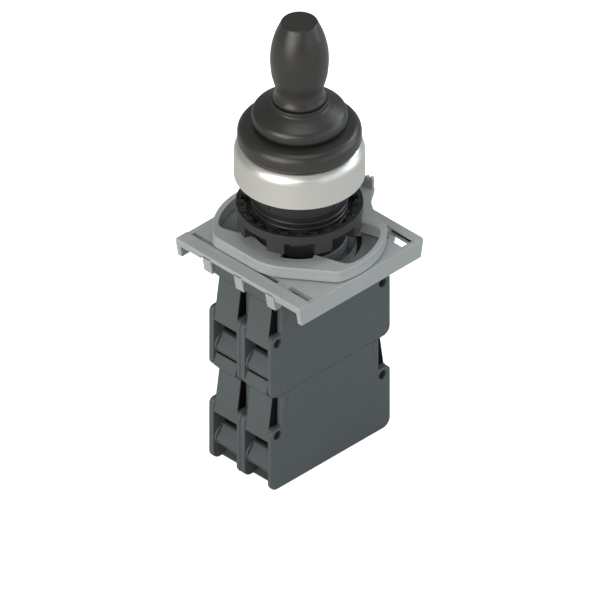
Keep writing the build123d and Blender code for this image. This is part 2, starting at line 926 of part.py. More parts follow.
for row, top in block_rows.items():
    floor = top - block_height + roof
    for column, side in block_columns.items():
        name = f"{row}_{column}"
        left = (side - 1) * block_width / 2 + block_gap / 2
        inside = left - block_gap / 2 + cover_wall
        wall_x = left - block_gap / 2 + block_width - case_wall
        right = wall_x + case_wall - block_gap / 2
        slide_x = side * slider_x
        rod_at = (side * rod_shift, side * pusher_ring_r)

        with BuildPart() as cover:
            with BuildSketch(Plane.YZ.offset(left)):
                block_wall(top)
            extrude(amount=inside - left)
        cover.part.label = f"cover_{name}"
        export_step(cover.part, f"parts/cover_{name}.step")

        with BuildPart() as case:
            with BuildSketch(Plane.YZ.offset(wall_x)):
                block_wall(top)
            extrude(amount=right - wall_x)
            with BuildSketch(Plane.YZ.offset(inside)):
                block_core(top)
            extrude(amount=wall_x - inside)
            for end in (-1, 1):
                box_between(
                    (inside + arm_width, end * recess_floor_y, top - recess_depth),
                    (wall_x, end * (block_half + cut_margin), top + nose_rise + cut_margin),
                    mode=Mode.SUBTRACT,
                )
            box_between(
                (inside, -cavity_y, floor), (wall_x, cavity_y, top - roof), mode=Mode.SUBTRACT
            )
            box_between(
                (slide_x - strip_width / 2, -pocket_y, top - strip_drop - strip_height),
                (slide_x + strip_width / 2, pocket_y, top - strip_drop),
                mode=Mode.SUBTRACT,
            )
            with BuildSketch(Plane.XY.offset(floor - roof)):
                with Locations(rod_at):
                    Circle(rod_r + guide_gap)
            extrude(amount=block_height, mode=Mode.SUBTRACT)
            with BuildSketch(Plane.XY.offset(top - roof)):
                with Locations((slide_x, 0)):
                    Circle(pusher_r + guide_gap)
            extrude(amount=roof, mode=Mode.SUBTRACT)
        case.part.label = f"case_{name}"
        export_step(case.part, f"parts/case_{name}.step")

        with BuildPart() as slider:
            stem_top = foot_bottom if row == "upper" else top - roof
            head_top = top - roof - slider_play
            head_bottom = head_top - slider_head
            bridge_top = top - bridge_drop
            with BuildSketch(Plane.XY.offset(head_top)):
                with Locations((slide_x, 0)):
                    Circle(pusher_r)
            extrude(amount=stem_top - head_top)
            box_between(
                (slide_x - pusher_r, -slider_half, head_bottom),
                (slide_x + pusher_r, slider_half, head_top),
            )
            if row == "lower":
                box_between(
                    (side * (rod_shift - rod_r), side * (pusher_ring_r - rod_r), head_bottom),
                    (slide_x, side * slider_half, head_top),
                )
            with Locations((slide_x, 0, (head_bottom + bridge_top) / 2)):
                Cylinder(spindle_r + collar_step, head_bottom - bridge_top)
            spindle_bottom = bridge_top - bridge_height - spindle_tail
            with Locations((slide_x, 0, (bridge_top + spindle_bottom) / 2)):
                Cylinder(spindle_r, bridge_top - spindle_bottom)
        slider.part.label = f"slider_{name}"
        export_step(slider.part, f"parts/slider_{name}.step")

        with BuildPart() as bridge:
            with BuildSketch(Plane.XY.offset(bridge_top - bridge_height)):
                with Locations((slide_x, 0)):
                    Rectangle(strip_width - strip_gap, 2 * bridge_half)
                    Circle(spindle_r + seam / 2, mode=Mode.SUBTRACT)
            extrude(amount=bridge_height)
        bridge.part.label = f"contact_bridge_{name}"
        export_step(bridge.part, f"parts/contact_bridge_{name}.step")

        with BuildPart() as strips:
            for end in (-1, 1):
                box_between(
                    (
                        slide_x - strip_width / 2 + seam,
                        end * strip_inner_y,
                        top - strip_drop - strip_height + seam,
                    ),
                    (slide_x + strip_width / 2 - seam, end * strip_outer_y, top - strip_drop - seam),
                )
                box_between(
                    (
                        slide_x - strip_width / 2 + seam,
                        end * (strip_outer_y - strip_height),
                        top - pocket_bottom + seam,
                    ),
                    (slide_x + strip_width / 2 - seam, end * strip_outer_y, top - strip_drop - seam),
                )
        strips.part.label = f"fixed_contacts_{name}"
        export_step(strips.part, f"parts/fixed_contacts_{name}.step")

        with BuildPart() as clamps:
            with BuildSketch(Plane.YZ.offset(slide_x)):
                polygon(
                    (pocket_y + seam, top - pocket_top - seam),
                    (pocket_y + clamp_width, top - pocket_top - seam),
                    (strip_outer_y, top - strip_drop - seam),
                    (strip_outer_y - clamp_width, top - strip_drop - seam),
                )
                mirror(about=Plane.YZ)
            extrude(amount=strip_width / 2 - seam, both=True)
        clamps.part.label = f"clamp_springs_{name}"
        export_step(clamps.part, f"parts/clamp_springs_{name}.step")

        contact_spring = coil(
            spindle_r + contact_wire + guide_gap,
            contact_wire,
            floor + 2 * contact_wire,
            bridge_top - bridge_height - 2 * contact_wire,
            contact_turns,
            (slide_x, 0),
        )
        contact_spring.part.label = f"contact_spring_{name}"
        export_step(contact_spring.part, f"parts/contact_spring_{name}.step")
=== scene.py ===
"""Looks for a panel-mount industrial joystick with four contact blocks.

Every sub-assembly of the joystick is a class. Its fields are the sizes it is
drawn from, in millimetres, and its ``build`` method makes the pieces that stand
for its CAD nodes. Finishes are frozen records that build procedural materials,
and repeated details are placed by Geometry Nodes trees written here in code.
"""

from __future__ import annotations

import json
import logging
import math
from dataclasses import dataclass, field
from enum import Enum
from functools import cache
from typing import Iterable, Sequence

import bmesh
import bpy
from mathutils import Matrix, Vector

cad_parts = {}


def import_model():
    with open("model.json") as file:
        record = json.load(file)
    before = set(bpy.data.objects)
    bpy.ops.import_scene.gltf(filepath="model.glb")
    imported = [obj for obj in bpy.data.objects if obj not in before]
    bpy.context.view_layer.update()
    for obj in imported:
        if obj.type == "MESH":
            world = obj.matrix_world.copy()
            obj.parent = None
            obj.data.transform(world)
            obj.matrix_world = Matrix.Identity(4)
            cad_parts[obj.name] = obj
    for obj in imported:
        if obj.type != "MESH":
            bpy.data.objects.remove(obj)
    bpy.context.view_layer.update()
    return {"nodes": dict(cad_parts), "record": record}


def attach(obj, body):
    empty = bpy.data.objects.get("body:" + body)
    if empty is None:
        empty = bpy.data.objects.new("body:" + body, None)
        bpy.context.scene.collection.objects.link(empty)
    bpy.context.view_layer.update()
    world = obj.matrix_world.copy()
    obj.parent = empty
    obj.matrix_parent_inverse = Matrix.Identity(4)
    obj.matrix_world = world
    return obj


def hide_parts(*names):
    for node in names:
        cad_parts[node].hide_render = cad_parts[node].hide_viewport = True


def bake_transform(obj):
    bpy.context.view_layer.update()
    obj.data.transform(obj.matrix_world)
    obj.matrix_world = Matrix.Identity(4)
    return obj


LOG = logging.getLogger("joystick")
MM = 0.001
SMOOTH_ANGLE = math.radians(38)
LATHE_SEGMENTS = 160
TINY = 1e-6
WELD = 1e-4
EDGE_SHARE = 0.49

Point = tuple[float, float]
Corner = tuple[float, float, float]
Colour = tuple[float, float, float]
Values = dict[str | int, object]


# Shapes


class Facing(Enum):
    """The axis that a flat outline is drawn square to and thickened along."""

    X = "x"
    Y = "y"
    Z = "z"

    @property
    def turn(self) -> Matrix:
        """The rotation from the outline's own axes to the joystick's."""
        columns = {
            Facing.X: ((0, 1, 0), (0, 0, 1), (1, 0, 0)),
            Facing.Y: ((1, 0, 0), (0, 0, 1), (0, -1, 0)),
            Facing.Z: ((1, 0, 0), (0, 1, 0), (0, 0, 1)),
        }[self]
        return Matrix(columns).transposed().to_4x4()

    @property
    def sign(self) -> int:
        """Whether the outline's own third axis runs with the joystick's axis."""
        return -1 if self is Facing.Y else 1


def polar(radius: float, angle: float) -> Point:
    """Gives the point at a radius and an angle.

    Args:
        radius: Distance from the origin in millimetres.
        angle: Angle from the first axis in degrees.

    Returns:
        The point's two coordinates.
    """
    return radius * math.cos(math.radians(angle)), radius * math.sin(math.radians(angle))


def arc(radius: float, start: float, end: float, step: float = 3.0) -> list[Corner]:
    """Samples a circular arc about the origin as unrounded corners.

    Args:
        radius: The arc's radius.
        start: First angle in degrees.
        end: Last angle in degrees.
        step: Largest angle between two samples.

    Returns:
        The arc's points with no rounding.
    """
    count = max(1, math.ceil(abs(end - start) / step))
    angles = [start + (end - start) * i / count for i in range(count + 1)]
    return [(*polar(radius, a), 0.0) for a in angles]


def round_corners(corners: Sequence[Corner], steps: int = 6) -> list[Point]:
    """Rounds the corners of a closed outline.

    Args:
        corners: Each corner's coordinates and rounding radius.
        steps: Segments in each rounded corner.

    Returns:
        The outline's points in the same order.
    """
    points: list[Point] = []
    for index, (x, y, radius) in enumerate(corners):
        here = Vector((x, y))
        before = Vector(corners[index - 1][:2]) - here
        after = Vector(corners[(index + 1) % len(corners)][:2]) - here
        if radius <= 0 or before.length < TINY or after.length < TINY:
            points.append((x, y))
            continue
        half = before.angle(after) / 2
        longest = EDGE_SHARE * min(before.length, after.length)
        reach = min(radius / math.tan(half), longest)
        radius = reach * math.tan(half)
        towards = (before.normalized() + after.normalized()).normalized()
        centre = here + towards * (radius / math.sin(half))
        first = here + before.normalized() * reach - centre
        last = here + after.normalized() * reach - centre
        sweep = first.angle_signed(last)
        for step in range(steps + 1):
            spoke = first.copy()
            spoke.rotate(Matrix.Rotation(-sweep * step / steps, 2))
            points.append(tuple(centre + spoke))
    return points


def circle(centre: Point, radius: float, count: int = 28) -> list[Corner]:
    """Samples a full circle as an outline.

    Args:
        centre: The circle's centre.
        radius: The circle's radius.
        count: How many points it has.

    Returns:
        The circle's points with no rounding.
    """
    spokes = [polar(radius, 360 * i / count) for i in range(count)]
    return [(centre[0] + x, centre[1] + y, 0.0) for x, y in spokes]


def rectangle(low: Point, high: Point, radii: float | Sequence[float] = 0.0) -> list[Corner]:
    """Draws a rectangle with rounded corners.

    Args:
        low: The lowest corner.
        high: The highest corner.
        radii: The rounding of its corners, one for all or one for each.

    Returns:
        The four corners, round from the lowest.
    """
    (x0, y0), (x1, y1) = low, high
    rounds = radii if isinstance(radii, Sequence) else [radii] * 4
    return [(x, y, r) for (x, y), r in zip(((x0, y0), (x1, y0), (x1, y1), (x0, y1)), rounds)]


def mirrored(corners: Sequence[Corner]) -> list[Corner]:
    """Closes a half outline with its mirror image across the second axis.

    Args:
        corners: The half on the positive side, drawn in order.

    Returns:
        The whole outline.
    """
    return [*corners, *((-x, y, r) for x, y, r in reversed(corners))]


@dataclass
class Slab:
    """A flat shape of even thickness whose rims are rounded.

    Attributes:
        facing: The axis that it is thickened along.
        low: Its lowest place along that axis.
        high: Its highest place along that axis.
        outline: Its outer corners.
        holes: The corners of each hole.
        rim: The rounding of its rims.
    """

    facing: Facing
    low: float
    high: float
    outline: Sequence[Corner]
    holes: Sequence[Sequence[Corner]] = ()
    rim: float = 0.15

    def mesh(self) -> bpy.types.Mesh:
        """Builds the slab through a filled, bevelled curve.

        Returns:
            A closed mesh in millimetres.
        """
        curve = bpy.data.curves.new("slab", "CURVE")
        curve.dimensions = "2D"
        curve.fill_mode = "BOTH"
        curve.extrude = (self.high - self.low) / 2 - self.rim
        curve.bevel_depth = self.rim
        curve.bevel_resolution = 2
        curve.offset = -self.rim
        for ring in (self.outline, *self.holes):
            points = round_corners(ring)
            spline = curve.splines.new("POLY")
            spline.points.add(len(points) - 1)
            for control, (x, y) in zip(spline.points, points):
                control.co = (x, y, 0, 1)
            spline.use_cyclic_u = True
        middle = self.facing.sign * (self.high + self.low) / 2
        carrier = linked("slab", curve)
        mesh = evaluated_mesh(carrier)
        bpy.data.curves.remove(curve)
        mesh.transform(self.facing.turn @ Matrix.Translation((0, 0, middle)))
        return mesh


@dataclass
class Turned:
    """A closed section turned about the joystick's axis.

    Attributes:
        section: The section's (radius, height) corners.
        start: First angle in degrees.
        end: Last angle in degrees.
        steps: Segments in each rounded corner.
    """

    section: Sequence[Corner]
    start: float = 0.0
    end: float = 360.0
    steps: int = 6

    def mesh(self) -> bpy.types.Mesh:
        """Turns the section and closes its ends where it isn't a full ring.

        Returns:
            A closed mesh in millimetres.
        """
        points = round_corners(self.section, self.steps)
        whole = abs(self.end - self.start) >= 360
        share = abs(self.end - self.start) / 360
        count = max(4, round(LATHE_SEGMENTS * share))
        work = bmesh.new()
        rings: list[list[bmesh.types.BMVert]] = []
        for radius, height in points:
            if radius < TINY:
                pole = work.verts.new((0, 0, height))
                rings.append([pole] * (count + 1))
                continue
            ring = []
            for i in range(count if whole else count + 1):
                x, y = polar(radius, self.start + (self.end - self.start) * i / count)
                ring.append(work.verts.new((x, y, height)))
            rings.append([*ring, ring[0]] if whole else ring)
        for first, second in zip(rings, [*rings[1:], rings[0]]):
            for i in range(count):
                corners = (first[i], first[i + 1], second[i + 1], second[i])
                face = list(dict.fromkeys(corners))
                if len(face) > 2:
                    work.faces.new(face)
        if not whole:
            work.faces.new([ring[0] for ring in rings])
            work.faces.new([ring[-1] for ring in reversed(rings)])
        bmesh.ops.recalc_face_normals(work, faces=work.faces)
        mesh = bpy.data.meshes.new("turned")
        work.to_mesh(mesh)
        work.free()
        return mesh


def linked(name: str, data: bpy.types.ID) -> bpy.types.Object:
    """Makes an object and links it into the scene.

    Args:
        name: The object's name.
        data: What the object carries.

    Returns:
        The new object.
    """
    made = bpy.data.objects.new(name, data)
    bpy.context.scene.collection.objects.link(made)
    return made


def evaluated_mesh(carrier: bpy.types.Object) -> bpy.types.Mesh:
    """Takes the final mesh of an object that isn't kept.

    Args:
        carrier: A curve or mesh object, with its modifiers.

    Returns:
        The mesh as Blender evaluates it.
    """
    graph = bpy.context.evaluated_depsgraph_get()
    mesh = bpy.data.meshes.new_from_object(carrier.evaluated_get(graph))
    bpy.data.objects.remove(carrier)
    return mesh


# Nodes


class Nodes:
    """A node tree with short ways to add and fill its nodes."""

    def __init__(self, tree: bpy.types.NodeTree) -> None:
        """Takes hold of a tree.

        Args:
            tree: The tree to work on.
        """
        self.tree = tree

    def fill(self, node: bpy.types.Node, values: Values) -> None:
        """Sets or links a node's inputs.

        Args:
            node: The node to fill.
            values: What each input takes, by its name or place: a constant or a socket.
        """
        for key, value in values.items():
            if isinstance(value, bpy.types.NodeSocket):
                self.tree.links.new(value, node.inputs[key])
            else:
                node.inputs[key].default_value = value

    def add(self, kind: str, values: Values | None = None, **settings: object) -> bpy.types.Node:
        """Adds a node and fills its inputs.

        Args:
            kind: The node's type name.
            values: What each input takes: a constant or a socket.
            **settings: The node's own settings.

        Returns:
            The new node.
        """
        made = self.tree.nodes.new(kind)
        for key, value in settings.items():
            setattr(made, key, value)
        self.fill(made, values or {})
        return made


class ShapeTree(Nodes):
    """A Geometry Nodes tree under construction."""

    def __init__(self, name: str) -> None:
        """Starts an empty tree with a geometry output.

        Args:
            name: The tree's name.
        """
        super().__init__(bpy.data.node_groups.new(name, "GeometryNodeTree"))
        sockets = self.tree.interface
        sockets.new_socket("Geometry", in_out="OUTPUT", socket_type="NodeSocketGeometry")
        self.inputs = self.add("NodeGroupInput")
        self.result = self.add("NodeGroupOutput")

    def socket(self, name: str, kind: str) -> bpy.types.NodeSocket:
        """Adds a named input.

        Args:
            name: The input's name.
            kind: Its socket type, without the common prefix.

        Returns:
            The group input's socket.
        """
        self.tree.interface.new_socket(name, in_out="INPUT", socket_type=f"NodeSocket{kind}")
        return self.inputs.outputs[name]

    def finish(self, geometry: bpy.types.NodeSocket) -> bpy.types.NodeTree:
        """Realizes the instances, sets the material and closes the tree.

        Args:
            geometry: The geometry to output.

        Returns:
            The finished tree.
        """
        material = self.socket("Material", "Material")
        real = self.add("GeometryNodeRealizeInstances", {"Geometry": geometry})
        values = {"Geometry": real.outputs[0], "Material": material}
        coat = self.add("GeometryNodeSetMaterial", values)
        self.fill(self.result, {0: coat.outputs[0]})
        return self.tree


@cache
def steps_tree() -> bpy.types.NodeTree:
    """Builds the tree that repeats a mesh by a turn and a shift at each step.

    Returns:
        A tree with the inputs Geometry, Count, Turn, Shift and Material.
    """
    tree = ShapeTree("stepped_pattern")
    shape = tree.socket("Geometry", "Geometry")
    count = tree.socket("Count", "Int")
    turn = tree.socket("Turn", "Vector")
    shift = tree.socket("Shift", "Vector")
    index = tree.add("GeometryNodeInputIndex").outputs[0]
    place, angle = (
        tree.add("ShaderNodeVectorMath", {0: step, "Scale": index}, operation="SCALE").outputs[0]
        for step in (shift, turn)
    )
    points = tree.add("GeometryNodePoints", {"Count": count, "Position": place})
    values = {"Points": points.outputs[0], "Instance": shape, "Rotation": angle}
    return tree.finish(tree.add("GeometryNodeInstanceOnPoints", values).outputs[0])


def thread_tree() -> bpy.types.NodeTree:
    """Builds the tree that sweeps a round ridge along a helix.

    The helix comes out left-handed, while the nut's travel is right-handed.

    Returns:
        A tree with the inputs Radius, Turns, Height, Bottom, Ridge and Material.
    """
    tree = ShapeTree("round_thread")
    tree.socket("Geometry", "Geometry")
    radius = tree.socket("Radius", "Float")
    turns = tree.socket("Turns", "Float")
    height = tree.socket("Height", "Float")
    bottom = tree.socket("Bottom", "Vector")
    ridge = tree.socket("Ridge", "Float")
    values = {
        "Resolution": 96,
        "Rotations": turns,
        "Start Radius": radius,
        "End Radius": radius,
        "Height": height,
    }
    helix = tree.add("GeometryNodeCurveSpiral", values).outputs[0]
    values = {"Resolution": 10, "Radius": ridge}
    section = tree.add("GeometryNodeCurvePrimitiveCircle", values).outputs[0]
    values = {"Curve": helix, "Profile Curve": section, "Fill Caps": True}
    swept = tree.add("GeometryNodeCurveToMesh", values).outputs[0]
    placed = tree.add("GeometryNodeTransform", {"Geometry": swept, "Translation": bottom})
    return tree.finish(placed.outputs[0])


def run_tree(seed: bpy.types.Mesh, tree: bpy.types.NodeTree, values: Values) -> bpy.types.Mesh:
    """Runs a Geometry Nodes tree on a mesh and takes the result.

    Args:
        seed: The mesh that goes into the tree.
        tree: The tree to run.
        values: What each named input is set to.

    Returns:
        The mesh that comes out.
    """
    carrier = linked("nodes", seed)
    modifier = carrier.modifiers.new("nodes", "NODES")
    modifier.node_group = tree
    for item in tree.interface.items_tree:
        if item.in_out == "INPUT" and item.name in values:
            modifier[item.identifier] = values[item.name]
    return evaluated_mesh(carrier)


# Finishes

MARKS_SHARE = 0.35
DRAWN_STRETCH = 0.06
TURNED_STRETCH = 0.0006


class Grain(Enum):
    """The direction that a surface's fine marks run in."""

    MOULDED = "moulded"
    TURNED = "turned"
    DRAWN = "drawn"


@dataclass(frozen=True)
class Finish:
    """A surface that is built as a procedural material.

    Attributes:
        slot: The record's material slot.
        base: Main colour, linear.
        shade: The colour that it drifts towards.
        roughness: Mean roughness.
        drift: How far the roughness varies.
        metallic: Zero for plastic and rubber, one for metal.
        grain: The direction of its marks.
        grain_size: Size of the marks in millimetres.
        grain_depth: Depth of the marks in millimetres.
        specular: Strength of the plain reflection.
        tone: The name of this look among those of its slot. A slot's darker tones are painted
            shade.
    """

    slot: str
    base: Colour
    shade: Colour
    roughness: float
    drift: float = 0.06
    metallic: float = 0.0
    grain: Grain = Grain.MOULDED
    grain_size: float = 0.35
    grain_depth: float = 0.006
    specular: float = 0.5
    tone: str = "finish"

    def material(self) -> bpy.types.Material:
        """Builds the finish, or finds it if it was built before.

        Returns:
            The Blender material.
        """
        name = f"{self.slot}_{self.tone}"
        found = bpy.data.materials.get(name)
        if found:
            return found
        made = bpy.data.materials.new(name)
        made.use_nodes = True
        made.diffuse_color = (*self.base, 1)
        nodes = Nodes(made.node_tree)
        place = self._place(nodes)
        values = {"Vector": place, "Scale": 45, "Detail": 4}
        drift = nodes.add("ShaderNodeTexNoise", values).outputs["Fac"]
        values = {
            "Vector": place,
            "Scale": 1 / (self.grain_size * MM),
            "Detail": 3,
            "Roughness": 0.6,
        }
        marks = nodes.add("ShaderNodeTexNoise", values).outputs["Fac"]
        values = {0: drift, 1: 1 - MARKS_SHARE}
        spread = nodes.add("ShaderNodeMath", values, operation="MULTIPLY").outputs[0]
        values = {0: marks, 1: MARKS_SHARE, 2: spread}
        blend = nodes.add("ShaderNodeMath", values, operation="MULTIPLY_ADD").outputs[0]
        ramp = nodes.add("ShaderNodeValToRGB", {"Fac": blend})
        stops = zip(ramp.color_ramp.elements, ((0.36, self.shade), (0.62, self.base)))
        for stop, (position, colour) in stops:
            stop.position = position
            stop.color = (*colour, 1)
        values = {
            "Value": blend,
            "From Min": 0.3,
            "From Max": 0.7,
            "To Min": self.roughness - self.drift,
            "To Max": self.roughness + self.drift,
        }
        gloss = nodes.add("ShaderNodeMapRange", values)
        values = {"Height": marks, "Strength": 0.6, "Distance": self.grain_depth * MM}
        bump = nodes.add("ShaderNodeBump", values)
        values = {
            "Base Color": ramp.outputs["Color"],
            "Roughness": gloss.outputs["Result"],
            "Normal": bump.outputs["Normal"],
            "Metallic": self.metallic,
            "Specular IOR Level": self.specular,
        }
        nodes.fill(nodes.tree.nodes["Principled BSDF"], values)
        return made

    def _place(self, nodes: Nodes) -> bpy.types.NodeSocket:
        """Gives the coordinates that the marks follow.

        Args:
            nodes: The material's nodes.

        Returns:
            The socket of the coordinates.
        """
        where = nodes.add("ShaderNodeTexCoord").outputs["Object"]
        if self.grain is Grain.MOULDED:
            return where
        x, y, z = nodes.add("ShaderNodeSeparateXYZ", {0: where}).outputs
        if self.grain is Grain.DRAWN:
            along, stretch, across = z, DRAWN_STRETCH, {"X": x, "Y": y}
        else:
            flat = nodes.add("ShaderNodeCombineXYZ", {"X": x, "Y": y}).outputs[0]
            radius = nodes.add("ShaderNodeVectorMath", {0: flat}, operation="LENGTH")
            turn = nodes.add("ShaderNodeMath", {0: y, 1: x}, operation="ARCTAN2")
            along, stretch = turn.outputs[0], TURNED_STRETCH
            across = {"X": radius.outputs["Value"], "Y": z}
        thin = nodes.add("ShaderNodeMath", {0: along, 1: stretch}, operation="MULTIPLY")
        return nodes.add("ShaderNodeCombineXYZ", {**across, "Z": thin.outputs[0]}).outputs[0]


KNOB = Finish(
    "knob_black",
    (0.034, 0.031, 0.026),
    (0.028, 0.026, 0.022),
    0.34,
    grain_size=0.25,
    grain_depth=0.002,
)
BOOT = Finish(
    "boot_rubber",
    (0.027, 0.0245, 0.02),
    (0.021, 0.019, 0.016),
    0.38,
    grain_size=0.3,
    grain_depth=0.003,
    specular=0.65,
)
BEZEL = Finish(
    "bezel_satin",
    (0.80, 0.78, 0.72),
    (0.73, 0.71, 0.655),
    0.38,
    drift=0.05,
    metallic=0.85,
    grain=Grain.TURNED,
    grain_size=0.12,
    grain_depth=0.002,
)
GASKET = Finish("gasket_rubber", (0.02, 0.02, 0.02), (0.014, 0.014, 0.014), 0.7)
BARREL = Finish(
    "barrel_black", (0.017, 0.0165, 0.016), (0.012, 0.012, 0.0115), 0.36, grain_size=0.2
)
NUT = Finish("nut_black", (0.03, 0.028, 0.026), (0.021, 0.02, 0.019), 0.46, grain_size=0.2)
FLANGE = Finish("flange_grey", (0.41, 0.425, 0.415), (0.375, 0.39, 0.38), 0.42, grain_size=0.22)
# Painted shade: a darker tone of the flange grey, standing for the shade in the ring's windows.
PAINTED_SHADE_GREY = Finish(
    "flange_grey", (0.19, 0.205, 0.205), (0.17, 0.18, 0.18), 0.5, grain_size=0.22, tone="painted_shade"
)
BLOCK = Finish(
    "block_grey",
    (0.084, 0.097, 0.1),
    (0.071, 0.083, 0.086),
    0.52,
    grain_size=0.22,
    grain_depth=0.008,
)
# Painted shade: a near-black tone of the block grey with little reflection, for liners where deep
# shade falls.
PAINTED_SHADE_BLACK = Finish(
    "block_grey", (0.004, 0.004, 0.004), (0.003, 0.003, 0.003), 0.8, specular=0.1, tone="well"
)
SLIDER = Finish("slider_white", (0.62, 0.59, 0.52), (0.55, 0.52, 0.45), 0.45)
STEEL = Finish(
    "steel",
    (0.52, 0.52, 0.52),
    (0.42, 0.42, 0.42),
    0.3,
    metallic=1.0,
    grain=Grain.DRAWN,
    grain_size=0.1,
)
SPRING = Finish(
    "spring_steel", (0.4, 0.4, 0.41), (0.3, 0.3, 0.31), 0.28, metallic=1.0, grain=Grain.DRAWN
)
BRASS = Finish("brass", (0.71, 0.5, 0.2), (0.6, 0.41, 0.15), 0.3, metallic=1.0, grain=Grain.TURNED)
COPPER = Finish("copper_alloy", (0.38, 0.23, 0.14), (0.3, 0.18, 0.1), 0.4, metallic=1.0)
RUBBERS, BLACKS, GREYS = (BOOT, GASKET), (KNOB, BARREL, NUT), (FLANGE, BLOCK)
METALS = (BEZEL, STEEL, SPRING, BRASS, COPPER)
FINISHES = {finish.slot: finish for finish in (*RUBBERS, *BLACKS, *GREYS, SLIDER, *METALS)}


# Pieces


@dataclass
class Solid:
    """Collects closed shapes in millimetres and turns them into one piece.

    Attributes:
        name: The piece's name.
        finish: Its finish.
        even: Whether wide faces are kept from picking up their rims' shading.
    """

    name: str
    finish: Finish
    even: bool = True
    work: bmesh.types.BMesh = field(default_factory=bmesh.new)

    def add(self, *shapes: Slab | Turned | bpy.types.Mesh, place: Matrix | None = None) -> Solid:
        """Adds shapes to the piece.

        Args:
            *shapes: What to add.
            place: Where to move them, if anywhere.

        Returns:
            The solid itself, so that calls can follow each other.
        """
        for shape in shapes:
            mesh = shape if isinstance(shape, bpy.types.Mesh) else shape.mesh()
            if place is not None:
                mesh.transform(place)
            shell = bmesh.new()
            shell.from_mesh(mesh)
            bmesh.ops.remove_doubles(shell, verts=shell.verts, dist=WELD)
            bmesh.ops.recalc_face_normals(shell, faces=shell.faces)
            shell.to_mesh(mesh)
            shell.free()
            self.work.from_mesh(mesh)
            bpy.data.meshes.remove(mesh)
        return self

    def mesh(self) -> bpy.types.Mesh:
        """Takes what was collected as a plain mesh in millimetres.

        Returns:
            The mesh, without a material.
        """
        mesh = bpy.data.meshes.new(self.name)
        self.work.to_mesh(mesh)
        self.work.free()
        return mesh

    def piece(self) -> bpy.types.Object:
        """Makes the piece's object, in metres and with its finish.

        Returns:
            The object at the origin.
        """
        mesh = self.mesh()
        mesh.transform(Matrix.Scale(MM, 4))
        mesh.materials.clear()
        mesh.materials.append(self.finish.material())
        mesh.polygons.foreach_set("material_index", [0] * len(mesh.polygons))
        mesh.polygons.foreach_set("use_smooth", [True] * len(mesh.polygons))
        mesh.set_sharp_from_angle(angle=SMOOTH_ANGLE)
        if self.even:
            mesh = self._evened(mesh)
        made = linked(self.name, mesh)
        return made

    @staticmethod
    def _evened(mesh: bpy.types.Mesh) -> bpy.types.Mesh:
        """Weights the mesh's normals by area, so that flat faces stay flat.

        Args:
            mesh: The mesh, with its sharp edges marked.

        Returns:
            The same shape with its own normals.
        """
        carrier = linked("evened", mesh)
        modifier = carrier.modifiers.new("evened", "WEIGHTED_NORMAL")
        modifier.keep_sharp = True
        return evaluated_mesh(carrier)


def settle(solid: Solid, body: str, *nodes: str) -> bpy.types.Object:
    """Makes a piece that rides on a body in place of some nodes.

    Args:
        solid: What the piece is made of.
        body: The body that it moves with.
        *nodes: The nodes that it stands for.

    Returns:
        The finished object.
    """
    made = solid.piece()
    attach(made, body)
    if nodes:
        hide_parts(*nodes)
    LOG.info("%s: %d faces, on %s", made.name, len(made.data.polygons), body)
    return made


def repeated(
    shape: bpy.types.Mesh,
    finish: Finish,
    count: int,
    turn: float = 0.0,
    shift: float = 0.0,
) -> bpy.types.Mesh:
    """Repeats a shape by a turn about the axis or a shift along the first axis.

    Args:
        shape: The shape at its first place.
        finish: The finish of every copy.
        count: How many copies there are.
        turn: The angle between two neighbours in radians.
        shift: The distance between two neighbours in millimetres.

    Returns:
        All the copies as one mesh.
    """
    values = {
        "Count": count,
        "Turn": (0.0, 0.0, turn),
        "Shift": (shift, 0.0, 0.0),
        "Material": finish.material(),
    }
    return run_tree(shape, steps_tree(), values)


@dataclass
class Knob:
    """The waisted grip at the lever's end."""

    bottom: float = 20.5
    top: float = 41.55
    face: float = 4.1
    skirt: float = 6.0
    bore: float = 4.05
    bore_top: float = 36.05
    waist: Sequence[Point] = (
        (6.0, 21.2),
        (5.58, 22.3),
        (5.45, 23.5),
        (5.78, 25.1),
        (6.31, 27.2),
        (6.54, 29.2),
        (6.66, 31.4),
        (6.52, 33.7),
        (6.15, 35.9),
        (5.54, 38.1),
        (4.85, 39.8),
    )

    def build(self) -> None:
        """Turns the grip from its side profile."""
        side = smooth_line(self.waist, 5)
        section: list[Corner] = [
            (self.bore, self.bottom, 0.2),
            (self.skirt, self.bottom, 0.35),
            *((r, z, 0.0) for r, z in side),
            (self.face, self.top - 0.03, 0.45),
            (0.0, self.top, 0.0),
            (0.0, self.bore_top, 0.0),
            (self.bore, self.bore_top, 0.0),
        ]
        settle(Solid("knob_grip", KNOB).add(Turned(section)), "lever", "knob")


def smooth_line(points: Sequence[Point], steps: int) -> list[Point]:
    """Runs a smooth curve through points.

    Args:
        points: The points that the curve passes through.
        steps: Samples between two neighbours.

    Returns:
        The curve's samples, ends included.
    """
    ends = [points[0], *points, points[-1]]
    curve: list[Point] = []
    for a, b, c, d in zip(ends, ends[1:], ends[2:], ends[3:]):
        for step in range(steps):
            t = step / steps
            weights = (
                (-t + 2 * t**2 - t**3) / 2,
                (2 - 5 * t**2 + 3 * t**3) / 2,
                (t + 4 * t**2 - 3 * t**3) / 2,
                (t**3 - t**2) / 2,
            )
            near = (a, b, c, d)
            curve.append(tuple(sum(w * p[i] for w, p in zip(weights, near)) for i in (0, 1)))
    return [*curve, points[-1]]


